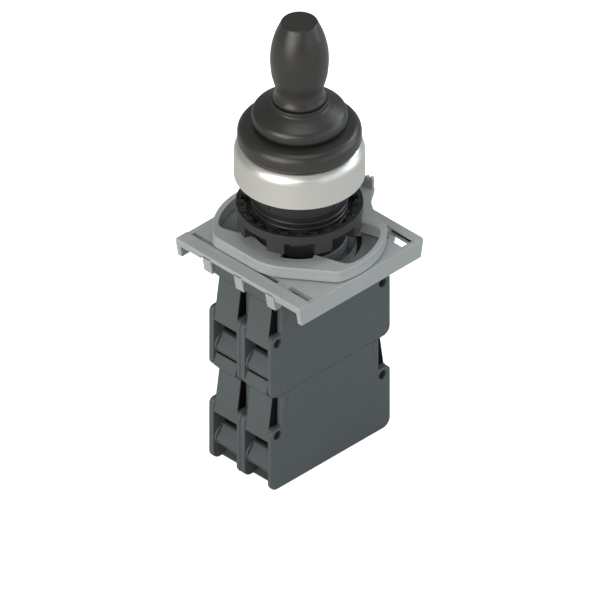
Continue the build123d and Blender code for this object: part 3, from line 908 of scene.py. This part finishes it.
@dataclass
class Boot:
    """The rubber bellows, turned as two lobes that meet at its valley; the real boot bends over
    two joints.
    """

    valley: float = 14.0

    def build(self) -> None:
        """Turns both lobes."""
        lower: list[Corner] = [
            (12.9, 4.1, 0.0),
            (13.05, 4.1, 0.0),
            (13.05, 8.8, 0.3),
            (14.05, 9.45, 1.1),
            (14.05, 13.4, 2.0),
            (9.2, 13.93, 0.3),
            (8.75, self.valley, 0.0),
            (7.6, self.valley, 0.0),
            (8.6, 12.8, 0.5),
            (12.9, 12.2, 1.3),
            (12.9, 10.2, 0.5),
            (11.9, 9.4, 0.0),
            (11.9, 4.1, 0.0),
        ]
        upper: list[Corner] = [
            (8.75, self.valley, 0.0),
            (9.4, 14.15, 0.3),
            (10.85, 14.6, 1.2),
            (10.85, 17.3, 1.7),
            (7.4, 18.85, 1.6),
            (6.5, 19.2, 0.4),
            (6.5, 20.35, 0.18),
            (3.05, 20.35, 0.0),
            (3.05, 18.0, 0.0),
            (5.6, 18.0, 0.8),
            (9.6, 16.4, 0.8),
            (9.6, 15.2, 0.5),
            (7.6, self.valley, 0.0),
        ]
        foot = Solid("boot_lower_lobe", BOOT, even=False).add(Turned(lower)).piece()
        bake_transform(foot)
        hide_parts("boot")
        neck = Solid("boot_upper_lobe", BOOT, even=False).add(Turned(upper)).piece()
        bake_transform(neck)
        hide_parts("boot")
        LOG.info("boot: two lobes that bend over the pivot")


@dataclass
class Bezel:
    """The satin metal ring on the panel's front."""

    radius: float = 14.8
    top: float = 8.75
    rim: float = 13.12
    straight: float = 6.2
    shoulder: float = 2.9
    seat: float = 4.0
    seat_bottom: float = 2.4
    recess: float = 12.95
    bore: float = 10.65

    def build(self) -> None:
        """Turns the ring with its rounded shoulder and seat."""
        heart = self.radius - self.shoulder
        curve = arc(self.shoulder, 0, 58, 4)
        section: list[Corner] = [
            (self.recess, 0.0, 0.1),
            (self.radius, 0.0, 0.22),
            *((heart + x, self.straight + z, 0.0) for x, z, _ in curve),
            (self.rim, self.top, 0.18),
            (self.rim, self.seat, 0.0),
            (self.bore, self.seat, 0.0),
            (self.bore, self.seat_bottom, 0.0),
            (self.recess, self.seat_bottom, 0.0),
        ]
        settle(Solid("bezel", BEZEL).add(Turned(section, steps=10)), "base", "bezel_ring")


@dataclass
class Barrel:
    """The threaded barrel under the bezel."""

    crest: float = 11.0
    root: float = 10.6
    neck: float = 10.85
    key_top: float = 11.05
    ridge: float = 0.42
    pitch: float = 1.5
    thread_top: float = -5.6
    thread_bottom: float = -12.9
    key_turns: Sequence[float] = (3, 93, 183, 273)
    lug_turns: Sequence[float] = (-90, 90)
    lug_half_angle: float = 12

    def build(self) -> None:
        """Turns the barrel and sweeps its thread."""
        section: list[Corner] = [
            (9.4, 5.5, 0.0),
            (10.6, 5.5, 0.0),
            (10.6, 2.35, 0.0),
            (12.9, 2.35, 0.0),
            (12.9, 0.8, 0.0),
            (self.neck, 0.8, 0.0),
            (self.neck, self.thread_top + 0.3, 0.15),
            (self.root, self.thread_top, 0.15),
            (self.root, -13.0, 0.0),
            (10.25, -13.4, 0.0),
            (10.25, -19.6, 0.2),
            (8.3, -19.6, 0.2),
            (8.3, -13.5, 0.0),
            (9.4, -13.5, 0.0),
        ]
        solid = Solid("barrel", BARREL).add(Turned(section))
        height = self.thread_top - self.thread_bottom
        values = {
            "Radius": self.crest - self.ridge,
            "Turns": height / self.pitch,
            "Height": height,
            "Bottom": (0.0, 0.0, self.thread_bottom),
            "Ridge": self.ridge,
            "Material": BARREL.material(),
        }
        solid.add(run_tree(bpy.data.meshes.new("seed"), thread_tree(), values))
        lug = rectangle((9.9, -17.9), (12.2, -16.4), (0.0, 0.15, 0.15, 0.0))
        rib = rectangle((self.root, -0.55), (self.key_top, 0.55), 0.12)
        key = rectangle((self.root, -0.5), (11.45, 0.5), 0.1)
        for turn in self.key_turns:
            place = Matrix.Rotation(math.radians(turn), 4, "Z")
            solid.add(Slab(Facing.Z, -4.6, 0.4, rib, rim=0.1), place=place)
            solid.add(Slab(Facing.Z, -1.3, 0.4, key, rim=0.1), place=place)
        for middle in self.lug_turns:
            solid.add(Turned(lug, middle - self.lug_half_angle, middle + self.lug_half_angle))
        settle(solid, "base", "threaded_barrel")


@dataclass
class ClampingNut:
    """The castellated ring nut and the serrated washer that it carries."""

    radius: float = 14.4
    washer_top: float = -7.75
    legs: int = 8
    leg_turn: float = 22.5
    leg_half_angle: float = 8.5
    teeth: int = 24
    tooth_share: float = 0.22
    tooth_rise: float = 0.15

    def build(self) -> None:
        """Builds one leg and one tooth and repeats them round the ring."""
        washer = Solid("serrated_washer", NUT)
        ring = [
            (13.2, -8.9, 0.0),
            (self.radius - 0.01, -8.9, 0.0),
            (self.radius - 0.01, self.washer_top - 0.05, 0.15),
            (14.1, self.washer_top - 0.05, 0.08),
            (14.0, self.washer_top - 0.2, 0.0),
            (13.2, self.washer_top - 0.2, 0.08),
        ]
        washer.add(Turned(ring))
        washer.add(repeated(self._tooth(), NUT, self.teeth, math.tau / self.teeth))
        settle(washer, "nut_carrier", "clamp_washer")

        nut = Solid("castellated_nut", NUT)
        sleeve = rectangle((11.08, -11.3), (12.1, -10.2), (0.1, 0.15, 0.12, 0.1))
        web = rectangle((13.2, -9.93), (14.38, -8.8), (0.0, 0.15, 0.0, 0.0))
        nut.add(Turned(sleeve), Turned(web))
        section = [
            (11.9, -12.85, 0.15),
            (self.radius, -12.85, 0.22),
            (self.radius, -8.8, 0.0),
            (13.3, -8.8, 0.0),
            (13.1, -10.3, 0.0),
            (11.9, -10.3, 0.1),
        ]
        start, end = self.leg_turn - self.leg_half_angle, self.leg_turn + self.leg_half_angle
        leg = Solid("leg", NUT).add(Turned(section, start, end)).mesh()
        nut.add(repeated(leg, NUT, self.legs, math.tau / self.legs))
        settle(nut, "nut", "ring_nut")

    def _tooth(self) -> bpy.types.Mesh:
        """Builds one saw tooth, which rises along its arc.

        Returns:
            The tooth as a closed mesh in millimetres.
        """
        half = self.tooth_share * 360 / self.teeth
        low = self.washer_top - self.tooth_rise
        section = rectangle((12.35, -8.6), (14.05, low), (0.05, 0.0, 0.0, 0.1))
        tooth = Turned(section, -half, half).mesh()
        for vertex in tooth.vertices:
            if vertex.co.z > low - 0.2:
                angle = math.degrees(math.atan2(vertex.co.y, vertex.co.x))
                vertex.co.z += self.tooth_rise * (angle + half) / (2 * half)
        return tooth


@dataclass
class LockingRing:
    """The bayonet ring with two windows and a finger tab, drawn in its own frame."""

    rest_angle: float = 18.25
    top: float = -15.0
    bottom: float = -17.96
    plate: float = 1.2
    seat: float = 12.6
    side_radius: float = 19.65
    back_radius: float = 18.1
    front: float = 16.1
    hole: float = 10.6
    notch: float = 12.4
    window_half: float = 8.0
    ridges: int = 15
    ridge_pitch: float = 1.08

    def outline(self, with_tab: bool) -> list[Corner]:
        """Draws the ring's outer edge.

        Args:
            with_tab: Whether the finger tab is on it.

        Returns:
            The edge's corners, from the front round by the right.
        """
        front, side, back = self.front, self.side_radius, self.back_radius
        reach = math.degrees(math.acos(front / side))
        half: list[Corner] = [
            (0.0, -front / math.cos(math.radians(self.rest_angle)), 12.0),
            (*polar(side, -90 + self.rest_angle + reach), 3.0),
            *arc(side, -90 + self.rest_angle + reach + 5, 26),
            (*polar(side, 29.5), 1.0),
            (*polar(back + 0.3, 35.5), 1.5),
            *arc(back, 40, 50),
        ]
        if with_tab:
            half += [(10.3, 15.6, 1.0), (9.4, 17.3, 2.0), (8.75, 19.6, 2.0), (8.1, 21.55, 0.3)]
        else:
            half += arc(back, 53, 87)
        return [*half, *((-x, y, r) for x, y, r in reversed(half[1:]))]

    def opening(self, bore: float, notched: bool) -> list[Corner]:
        """Draws the hole with its windows.

        Args:
            bore: The radius of the hole between the windows.
            notched: Whether the hole has its bayonet notches.

        Returns:
            The corners of the one opening that they make together.
        """
        reach = self.window_half
        meet = math.degrees(math.asin(reach / bore))
        half: list[Corner] = [
            (*polar(bore, meet), 0.3),
            (16.4, reach, 2.6),
            *arc(18.3, 16, -16, 4),
            (16.4, -reach, 2.6),
        ]
        if notched:
            half += [
                (7.6, -reach, 0.4),
                (*polar(self.notch, -49.35), 0.5),
                *arc(self.notch, -53, -80, 4),
                (*polar(self.notch, -84.15), 0.5),
                (*polar(bore, -84.15), 0.5),
                *arc(bore, -87, -180 + meet + 3),
            ]
        else:
            half += arc(bore, -meet, -180 + meet + 3)
        return [*half, *((-x, -y, r) for x, y, r in half)]

    def build(self) -> None:
        """Builds the ring and turns it to where it locks."""
        under = self.top - self.plate
        solid = Solid("bayonet_ring", FLANGE)
        solid.add(
            Slab(Facing.Z, under, self.top, *self._section(self.hole, True), rim=0.2),
            Slab(Facing.Z, self.bottom, under + 0.4, *self._section(self.seat, False), rim=0.12),
            Slab(Facing.X, -8.0, 8.0, self.grip(), rim=0.14),
        )
        tooth = [(-7.9, -12.6, 0.0), (-7.2, -12.6, 0.0), (-7.35, -12.1, 0.1), (-7.75, -12.1, 0.1)]
        ridge = Slab(Facing.Y, 20.55, 21.55, tooth, rim=0.06).mesh()
        solid.add(repeated(ridge, FLANGE, self.ridges, shift=self.ridge_pitch))
        turn = Matrix.Rotation(math.radians(self.rest_angle), 4, "Z")
        bmesh.ops.transform(solid.work, matrix=turn, verts=solid.work.verts)
        settle(solid, "bayonet_ring", "locking_ring")

    def _section(self, bore: float, upper: bool) -> tuple[list[Corner], list[list[Corner]]]:
        """Draws one of the ring's two layers.

        Args:
            bore: The radius of its hole between the windows.
            upper: Whether it is the layer with the tab and the bayonet notches.

        Returns:
            The layer's outline and its holes.
        """
        return self.outline(upper), [self.opening(bore, upper)]

    @staticmethod
    def grip() -> list[Corner]:
        """Draws the raised end of the tab from its side.

        Returns:
            The corners in the plane square to the tab's width.
        """
        return [(20.4, -16.1, 0.0), (21.58, -16.1, 0.15), (21.58, -12.5, 0.2), (20.5, -12.5, 0.2)]


@dataclass
class Flange:
    """The square mounting flange with its slots, skirts and fingers."""

    half: float = 19.7
    top: float = -18.0
    plate_top: float = -18.3
    plate_bottom: float = -19.9
    bar_bottom: float = -19.1
    bottom: float = -23.0
    draft: float = 0.7
    hole: float = 13.0
    wide_hole: float = 14.1
    wide_reach: float = 58
    inset: float = 0.02
    front_bar: float = -16.1
    rear_bar: float = 17.3
    skirt_wall: float = 1.3
    fingers: int = 3
    finger_pitch: float = 10.0
    finger_depth: float = 2.7
    lips: Sequence[Point] = ((-18.8, -11.8), (11.8, 18.8))
    lip_depth: float = 1.1

    def build(self) -> None:
        """Builds the flange from its plate, bars, skirts, fingers and collar."""
        solid = Solid("square_flange", FLANGE)
        half, edge = self.half, self.half - self.inset
        plate = rectangle((-19.0, -16.4), (19.0, 17.6), 0.1)
        holes = [self._hole(), *self._slots()]
        solid.add(Slab(Facing.Z, self.plate_bottom, self.plate_top, plate, holes, rim=0.08))
        for y0, y1 in ((-half, self.front_bar), (self.rear_bar, half)):
            bar = rectangle((-edge, y0), (edge, y1), 0.2)
            solid.add(Slab(Facing.Z, self.bar_bottom, self.top, bar, rim=0.14))
        for x in (-half, half - self.skirt_wall):
            solid.add(Slab(Facing.X, x, x + self.skirt_wall, self._skirt(), rim=0.14))
        low, high = self.bar_bottom - 0.6, self.bar_bottom + 0.3
        for side in (-1, 1):
            finger = Slab(Facing.X, -11.3, -8.7, self._finger(side), rim=0.12).mesh()
            solid.add(repeated(finger, FLANGE, self.fingers, shift=self.finger_pitch))
            y0, y1 = sorted((side * half, side * (half - self.lip_depth)))
            for x0, x1 in self.lips:
                solid.add(Slab(Facing.Z, low, high, rectangle((x0, y0), (x1, y1)), rim=0.1))
        self._well(solid)
        settle(solid, "base", "mounting_flange")

    def _skirt(self) -> list[Corner]:
        """Draws one side skirt, which narrows towards its foot.

        Returns:
            The skirt's corners.
        """
        end, high = self.half - self.inset, self.plate_top + 0.005
        return [
            (-end, high, 0.3),
            (-end, -19.0, 0.3),
            (self.draft - end, self.bottom, 0.25),
            (end - self.draft, self.bottom, 0.25),
            (end, -19.0, 0.3),
            (end, high, 0.3),
        ]

    def _finger(self, side: int) -> list[Corner]:
        """Draws one finger from the side.

        Args:
            side: Minus one for the front and one for the rear.

        Returns:
            The finger's corners.
        """
        outer, inner, high = self.half, self.half - self.finger_depth, self.bar_bottom + 0.4
        corners = [
            (outer, high, 0.0),
            (outer, self.bar_bottom, 0.3),
            (outer - self.draft, self.bottom, 0.2),
            (inner, self.bottom, 0.2),
            (inner, high, 0.0),
        ]
        return [(side * y, z, r) for y, z, r in corners]

    def _slots(self) -> list[list[Corner]]:
        """Draws the slots beside both bars, with a web on each side of the middle.

        Returns:
            The corners of each slot.
        """
        columns = ((-18.8, -11.8, -14.6), (-8.6, 8.6, -14.6), (11.8, 18.8, -14.0))
        front = [rectangle((x0, self.front_bar), (x1, y), 0.15) for x0, x1, y in columns]
        back = [rectangle((x0, 14.1), (x1, self.rear_bar), 0.15) for x0, x1, _ in columns]
        return [*front, *back]

    def _hole(self) -> list[Corner]:
        """Draws the hole round the barrel's foot, wider at both sides.

        Returns:
            The hole's corners.
        """
        corners: list[Corner] = []
        for middle in (0, 180):
            corners += arc(self.wide_hole, middle - self.wide_reach, middle + self.wide_reach)
            corners += arc(self.hole, middle + 61, middle + 119)
        return corners

    def _well(self, solid: Solid) -> None:
        """Adds the seat round the barrel's foot, and in both windows a darker grey trough, stop
        and thin sheet that paint the shade there.

        Args:
            solid: The flange that the seat belongs to.
        """
        solid.add(Turned(rectangle((9.0, -23.25), (11.4, -20.0), (0.1, 0.1, 0.0, 0.0))))
        # Painted shade: the trough and stop are real shapes, drawn in a darker grey for the shade
        # in the windows.
        painted_shade_pieces = Solid("window_painted_shade", PAINTED_SHADE_GREY)
        trough = [
            (10.35, -20.3, 0.0),
            (12.9, -20.3, 0.0),
            (12.9, -18.35, 0.15),
            (12.45, -18.35, 0.15),
            (12.35, -19.7, 0.2),
            (10.9, -19.7, 0.0),
            (10.9, -16.6, 0.15),
            (10.35, -16.6, 0.15),
        ]
        stop = rectangle((10.8, -19.8), (12.45, -16.6), (0.0, 0.0, 0.15, 0.15))
        # A thin darker sheet on the plate that is only painted shade in the window.
        painted_shade = rectangle((14.1, -18.6), (18.45, -18.22), (0.0, 0.0, 0.1, 0.1))
        for middle in (0, 180):
            painted_shade_pieces.add(Turned(trough, middle - self.wide_reach, middle + self.wide_reach))
            painted_shade_pieces.add(Turned(stop, middle + 38, middle + self.wide_reach))
            painted_shade_pieces.add(Turned(painted_shade, middle - 16, middle + 57))
        settle(painted_shade_pieces, "base", "mounting_flange")


@dataclass
class ContactBlock:
    """One contact block: a side cover and a case with hooked arms and terminals."""

    row: str
    column: str
    top: float
    side: int
    height: float = 25.3
    width: float = 9.9
    half: float = 19.0
    ledge: float = 8.8
    cover_wall: float = 1.5
    case_wall: float = 1.1
    arm_width: float = 6.9
    half_gap: float = 0.05
    overlap: float = 0.1
    lobe: float = 20.9
    pocket_top: float = 12.0
    pocket_bottom: float = 16.4
    rivet: Point = (16.7, 10.6)
    rivet_radius: float = 1.15
    cheek: Point = (16.0, 19.2)
    cheek_radius: float = 2.63

    @property
    def name(self) -> str:
        """Where the block sits, as its pieces' names say it."""
        return f"{self.row}_{self.column}"

    @property
    def left(self) -> float:
        """The block's left side, with half of the gap to its neighbour."""
        return (self.side - 1) * self.width / 2

    @property
    def right(self) -> float:
        """The block's right side, with half of the gap to its neighbour."""
        return self.left + self.width

    @property
    def inside(self) -> float:
        """Where the cover ends and the case's hollow begins."""
        return self.left + self.cover_wall

    @property
    def case_side(self) -> float:
        """Where the case's own side wall begins."""
        return self.right - self.case_wall

    def wall(self) -> list[Corner]:
        """Draws a side wall, stepped in beside both arms.

        Returns:
            The wall's corners.
        """
        top, ledge, bottom = self.top, self.top - self.ledge, self.top - self.height
        return mirrored(
            [
                (self.half, bottom, 2.2),
                (self.half, ledge, 1.3),
                (14.9, ledge, 1.6),
                (13.5, top, 0.1),
            ]
        )

    def core(self) -> list[Corner]:
        """Draws the section between the walls, from the floor to the roof.

        Returns:
            The corners of the whole section.
        """
        top, base = self.top, self.top - self.height
        return mirrored(
            [
                (16.1, base, 0.1),
                (16.1, base + 0.45, 0.0),
                (14.6, base + 0.9, 0.2),
                (14.6, top - self.lobe, 0.4),
                (17.95, top - self.lobe, 0.3),
                (18.45, top - 19.4, 0.9),
                (16.2, top - self.pocket_bottom, 0.5),
                (11.0, top - self.pocket_bottom, 0.2),
                (11.0, top - self.pocket_top, 0.2),
                (18.85, top - self.pocket_top, 0.15),
                (18.38, top - self.ledge, 0.0),
                (14.9, top - self.ledge, 0.3),
                (14.9, top, 0.1),
            ]
        )

    def arm(self, end: int) -> list[Corner]:
        """Draws one hooked arm from the side.

        Args:
            end: Minus one for the front arm and one for the rear arm.

        Returns:
            The arm's corners.
        """
        top = self.top
        corners = [
            (17.0, top - self.ledge - 0.6, 0.0),
            (16.35, top - 0.9, 0.5),
            (16.35, top + 2.9, 0.2),
            (17.3, top + 3.7, 0.1),
            (18.15, top + 4.12, 0.2),
            (19.05, top + 1.2, 0.3),
            (17.2, top - 0.9, 0.3),
            (18.47, top - self.ledge - 0.6, 0.0),
        ]
        return [(end * y, z, r) for y, z, r in corners]

    def build(self) -> None:
        """Builds the cover, the case, the posts and the black liners of painted shade in its
        hollows.
        """
        y, drop = self.rivet
        rivets = [circle((end * y, self.top - drop), self.rivet_radius) for end in (-1, 1)]
        cover = Solid(f"side_cover_{self.name}", BLOCK)
        left, right = self.left + self.half_gap, self.right - self.half_gap
        cover.add(Slab(Facing.X, left, self.inside, self.wall(), rivets, rim=0.22))
        settle(cover, "base", f"cover_{self.name}")
        case = Solid(f"block_case_{self.name}", BLOCK)
        start, stop = self.inside - self.overlap, self.case_side + self.overlap
        case.add(
            Slab(Facing.X, self.case_side, right, self.wall(), rivets, rim=0.22),
            Slab(Facing.X, start, stop, self.core(), rivets, rim=0.1),
        )
        y, drop = self.cheek
        for end in (-1, 1):
            cheek = circle((end * y, self.top - drop), self.cheek_radius)
            arm_stop = self.inside + self.arm_width
            case.add(
                Slab(Facing.X, self.inside, arm_stop, self.arm(end), rim=0.12),
                Slab(Facing.X, start, self.inside + 0.45, cheek, rim=0.1),
            )
        settle(case, "base", f"case_{self.name}")
        # Painted shade: near-black liners stand for the deep shade in the wells, gaps and grooves.
        shade_liners = Solid(f"terminal_wells_{self.name}", PAINTED_SHADE_BLACK)
        posts = Solid(f"arm_posts_{self.name}", BLOCK)
        for end in (-1, 1):
            shade_liners.add(*self._painted_shade_liners(end))
            posts.add(self._post(end))
        settle(shade_liners, "base", f"case_{self.name}")
        settle(posts, "base", f"case_{self.name}")

    def _painted_shade_liners(self, end: int) -> list[Slab]:
        """Lays the black liners of painted shade at one end, in its well, its gap and its groove,
        where deep shade falls.

        Args:
            end: Minus one for the front and one for the rear.

        Returns:
            The painted-shade liners. Only a block with another below it has a groove.
        """
        top, ledge, base = self.top, self.top - self.ledge, self.top - self.height
        start, stop = self.inside - self.overlap, self.case_side + self.overlap
        beside = self.inside + self.arm_width
        back, front = sorted((end * 14.45, end * 15.4))
        well = rectangle((back, top - 16.5), (front, top - 11.9))
        gap = [(15.6, ledge + 0.3), (15.6, top - 0.4), (17.0, top - 1.0), (18.1, ledge + 0.3)]
        painted_shades = [
            Slab(Facing.X, start, stop, well),
            Slab(Facing.X, beside - 0.02, beside + 0.06, [(end * y, z, 0.0) for y, z in gap]),
        ]
        if self.row == "upper":
            groove = rectangle(*sorted([(end * 14.5, base + 0.9), (end * 17.4, top - 20.95)]))
            painted_shades.append(Slab(Facing.X, self.inside - 0.08, self.case_side + 0.08, groove))
        return painted_shades

    def _post(self, end: int) -> Slab:
        """Shapes the rounded post beside an arm.

        Args:
            end: Minus one for the front and one for the rear.

        Returns:
            The post.
        """
        left, right = self.inside + self.arm_width + 0.08, self.right - 0.07
        corners = [(left, 13.2, 0.0), (left, 15.6, 0.12), (right, 15.6, 1.1), (right, 13.2, 0.0)]
        outline = [(x, end * y, r) for x, y, r in corners]
        low, high = self.top - self.ledge + 0.2, self.top - 0.06
        return Slab(Facing.Z, low, high, outline, rim=0.05)


# Set


@dataclass
class Camera:
    """The isometric view from above a front corner, with no perspective."""

    azimuth: float = 45.0
    elevation: float = math.degrees(math.atan(math.sqrt(0.5)))
    span: float = 134.83
    target: tuple[float, float, float] = (0.08, 0.08, -35.12)
    distance: float = 600.0

    def build(self) -> None:
        """Places the camera and makes it the scene's own."""
        turn, lift = math.radians(self.azimuth), math.radians(self.elevation)
        flat = math.cos(lift)
        back = Vector((math.sin(turn) * flat, -math.cos(turn) * flat, math.sin(lift)))
        data = bpy.data.cameras.new("camera")
        data.type = "ORTHO"
        data.ortho_scale = self.span * MM
        data.clip_start, data.clip_end = 0.01, 10
        camera = linked("camera", data)
        camera.location = (Vector(self.target) + back * self.distance) * MM
        camera.rotation_euler = (-back).to_track_quat("-Z", "Y").to_euler()
        bpy.context.scene.camera = camera


@dataclass(frozen=True)
class Lamp:
    """A soft area light that points at the joystick.

    Attributes:
        name: The light's name.
        place: Where it stands, in metres.
        size: Its width, in metres.
        power: Its power in watts.
        colour: Its colour.
        aim: Where it points, in metres.
    """

    name: str
    place: tuple[float, float, float]
    size: float
    power: float
    colour: Colour = (1.0, 1.0, 1.0)
    aim: tuple[float, float, float] = (0.0, 0.0, -0.02)

    def build(self) -> None:
        """Places the light and aims it."""
        data = bpy.data.lights.new(self.name, "AREA")
        data.shape = "DISK"
        data.size = self.size
        data.energy = self.power
        data.color = self.colour
        lamp = linked(self.name, data)
        lamp.location = self.place
        way = Vector(self.aim) - Vector(self.place)
        lamp.rotation_euler = way.to_track_quat("-Z", "Y").to_euler()


@dataclass
class Studio:
    """The pale floor, the soft lights and the white surround."""

    floor: float = -73.9
    floor_drop: float = 0.2
    floor_half: float = 2.0
    floor_glow: float = 0.88
    ambient: Colour = (0.92, 0.96, 1.0)
    ambient_strength: float = 0.26
    lamps: Iterable[Lamp] = (
        Lamp("key", (0.08, -0.96, 0.3), 0.8, 7.0, (1.0, 0.98, 0.94)),
        Lamp("front", (0.57, -0.73, 0.4), 0.3, 0.8),
        Lamp("high", (0.1, -0.7, 0.7), 0.3, 0.5),
        Lamp("side", (0.97, 0.1, 0.2), 0.9, 1.6, (0.84, 0.93, 1.0)),
        Lamp("rim", (0.58, 0.78, 0.25), 0.7, 2.6, (0.84, 0.93, 1.0)),
        Lamp("back", (0.1, 1.0, 0.65), 0.35, 2.6, (0.84, 0.93, 1.0)),
        Lamp("top", (0.05, -0.05, 0.9), 0.5, 1.4),
    )

    def build(self) -> None:
        """Builds the floor, the world and every lamp."""
        self._floor()
        self._world()
        for lamp in self.lamps:
            lamp.build()
        bpy.context.scene.view_settings.view_transform = "Standard"

    def _floor(self) -> None:
        """Lays a wide floor just under the lowest blocks."""
        half, height = self.floor_half, (self.floor - self.floor_drop) * MM
        corners = [(x, y, height) for x, y, _ in rectangle((-half, -half), (half, half))]
        mesh = bpy.data.meshes.new("floor")
        mesh.from_pydata(corners, [], [(0, 1, 2, 3)])
        mesh.materials.append(self._pale())
        floor = linked("floor", mesh)

    def _pale(self) -> bpy.types.Material:
        """Makes a floor that is nearly white to the camera and bounces less light.

        Returns:
            The floor's material.
        """
        pale = Finish("floor", (0.7, 0.7, 0.69), (0.68, 0.68, 0.67), 0.8, specular=0.0).material()
        nodes = Nodes(pale.node_tree)
        plain = nodes.tree.nodes["Principled BSDF"].outputs[0]
        glow = nodes.add("ShaderNodeEmission", {"Strength": self.floor_glow})
        both = nodes.add("ShaderNodeAddShader", {0: plain, 1: glow.outputs[0]})
        seen = nodes.add("ShaderNodeLightPath").outputs["Is Camera Ray"]
        mix = nodes.add("ShaderNodeMixShader", {0: seen, 1: plain, 2: both.outputs[0]})
        nodes.fill(nodes.tree.nodes["Material Output"], {"Surface": mix.outputs[0]})
        return pale

    def _world(self) -> None:
        """Shows white to the camera and lights the object softly."""
        world = bpy.data.worlds.new("surround")
        world.use_nodes = True
        bpy.context.scene.world = world
        nodes = Nodes(world.node_tree)
        soft = nodes.tree.nodes["Background"]
        nodes.fill(soft, {"Color": (*self.ambient, 1), "Strength": self.ambient_strength})
        white = nodes.add("ShaderNodeBackground", {"Color": (1, 1, 1, 1)})
        path = nodes.add("ShaderNodeLightPath").outputs
        rays = {0: path["Is Camera Ray"], 1: path["Is Transmission Ray"]}
        seen = nodes.add("ShaderNodeMath", rays, operation="MAXIMUM").outputs[0]
        shades = {0: seen, 1: soft.outputs[0], 2: white.outputs[0]}
        mix = nodes.add("ShaderNodeMixShader", shades)
        nodes.fill(nodes.tree.nodes["World Output"], {"Surface": mix.outputs[0]})


def coat_nodes(frame: dict) -> None:
    """Gives every CAD node the finish of its own material slot.
    """
    slots = {part["node"]: part["material_slot"] for part in frame["record"]["subparts"]}
    for name, node in frame["nodes"].items():
        node.data.materials.clear()
        node.data.materials.append(FINISHES[slots[name]].material())


def main() -> None:
    """Builds the joystick's looks and the set."""
    logging.basicConfig(level=logging.INFO, format="%(name)s: %(message)s")
    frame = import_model()
    coat_nodes(frame)
    blocks = [
        ContactBlock(row, column, top, side)
        for row, top in (("upper", -23.3), ("lower", -48.6))
        for column, side in (("left", -1), ("right", 1))
    ]
    operator = (Knob(), Boot(), Bezel(), Barrel())
    mount = (ClampingNut(), LockingRing(), Flange())
    for part in (*operator, *mount, *blocks, Camera(), Studio()):
        part.build()


if __name__ == "__main__":
    main()
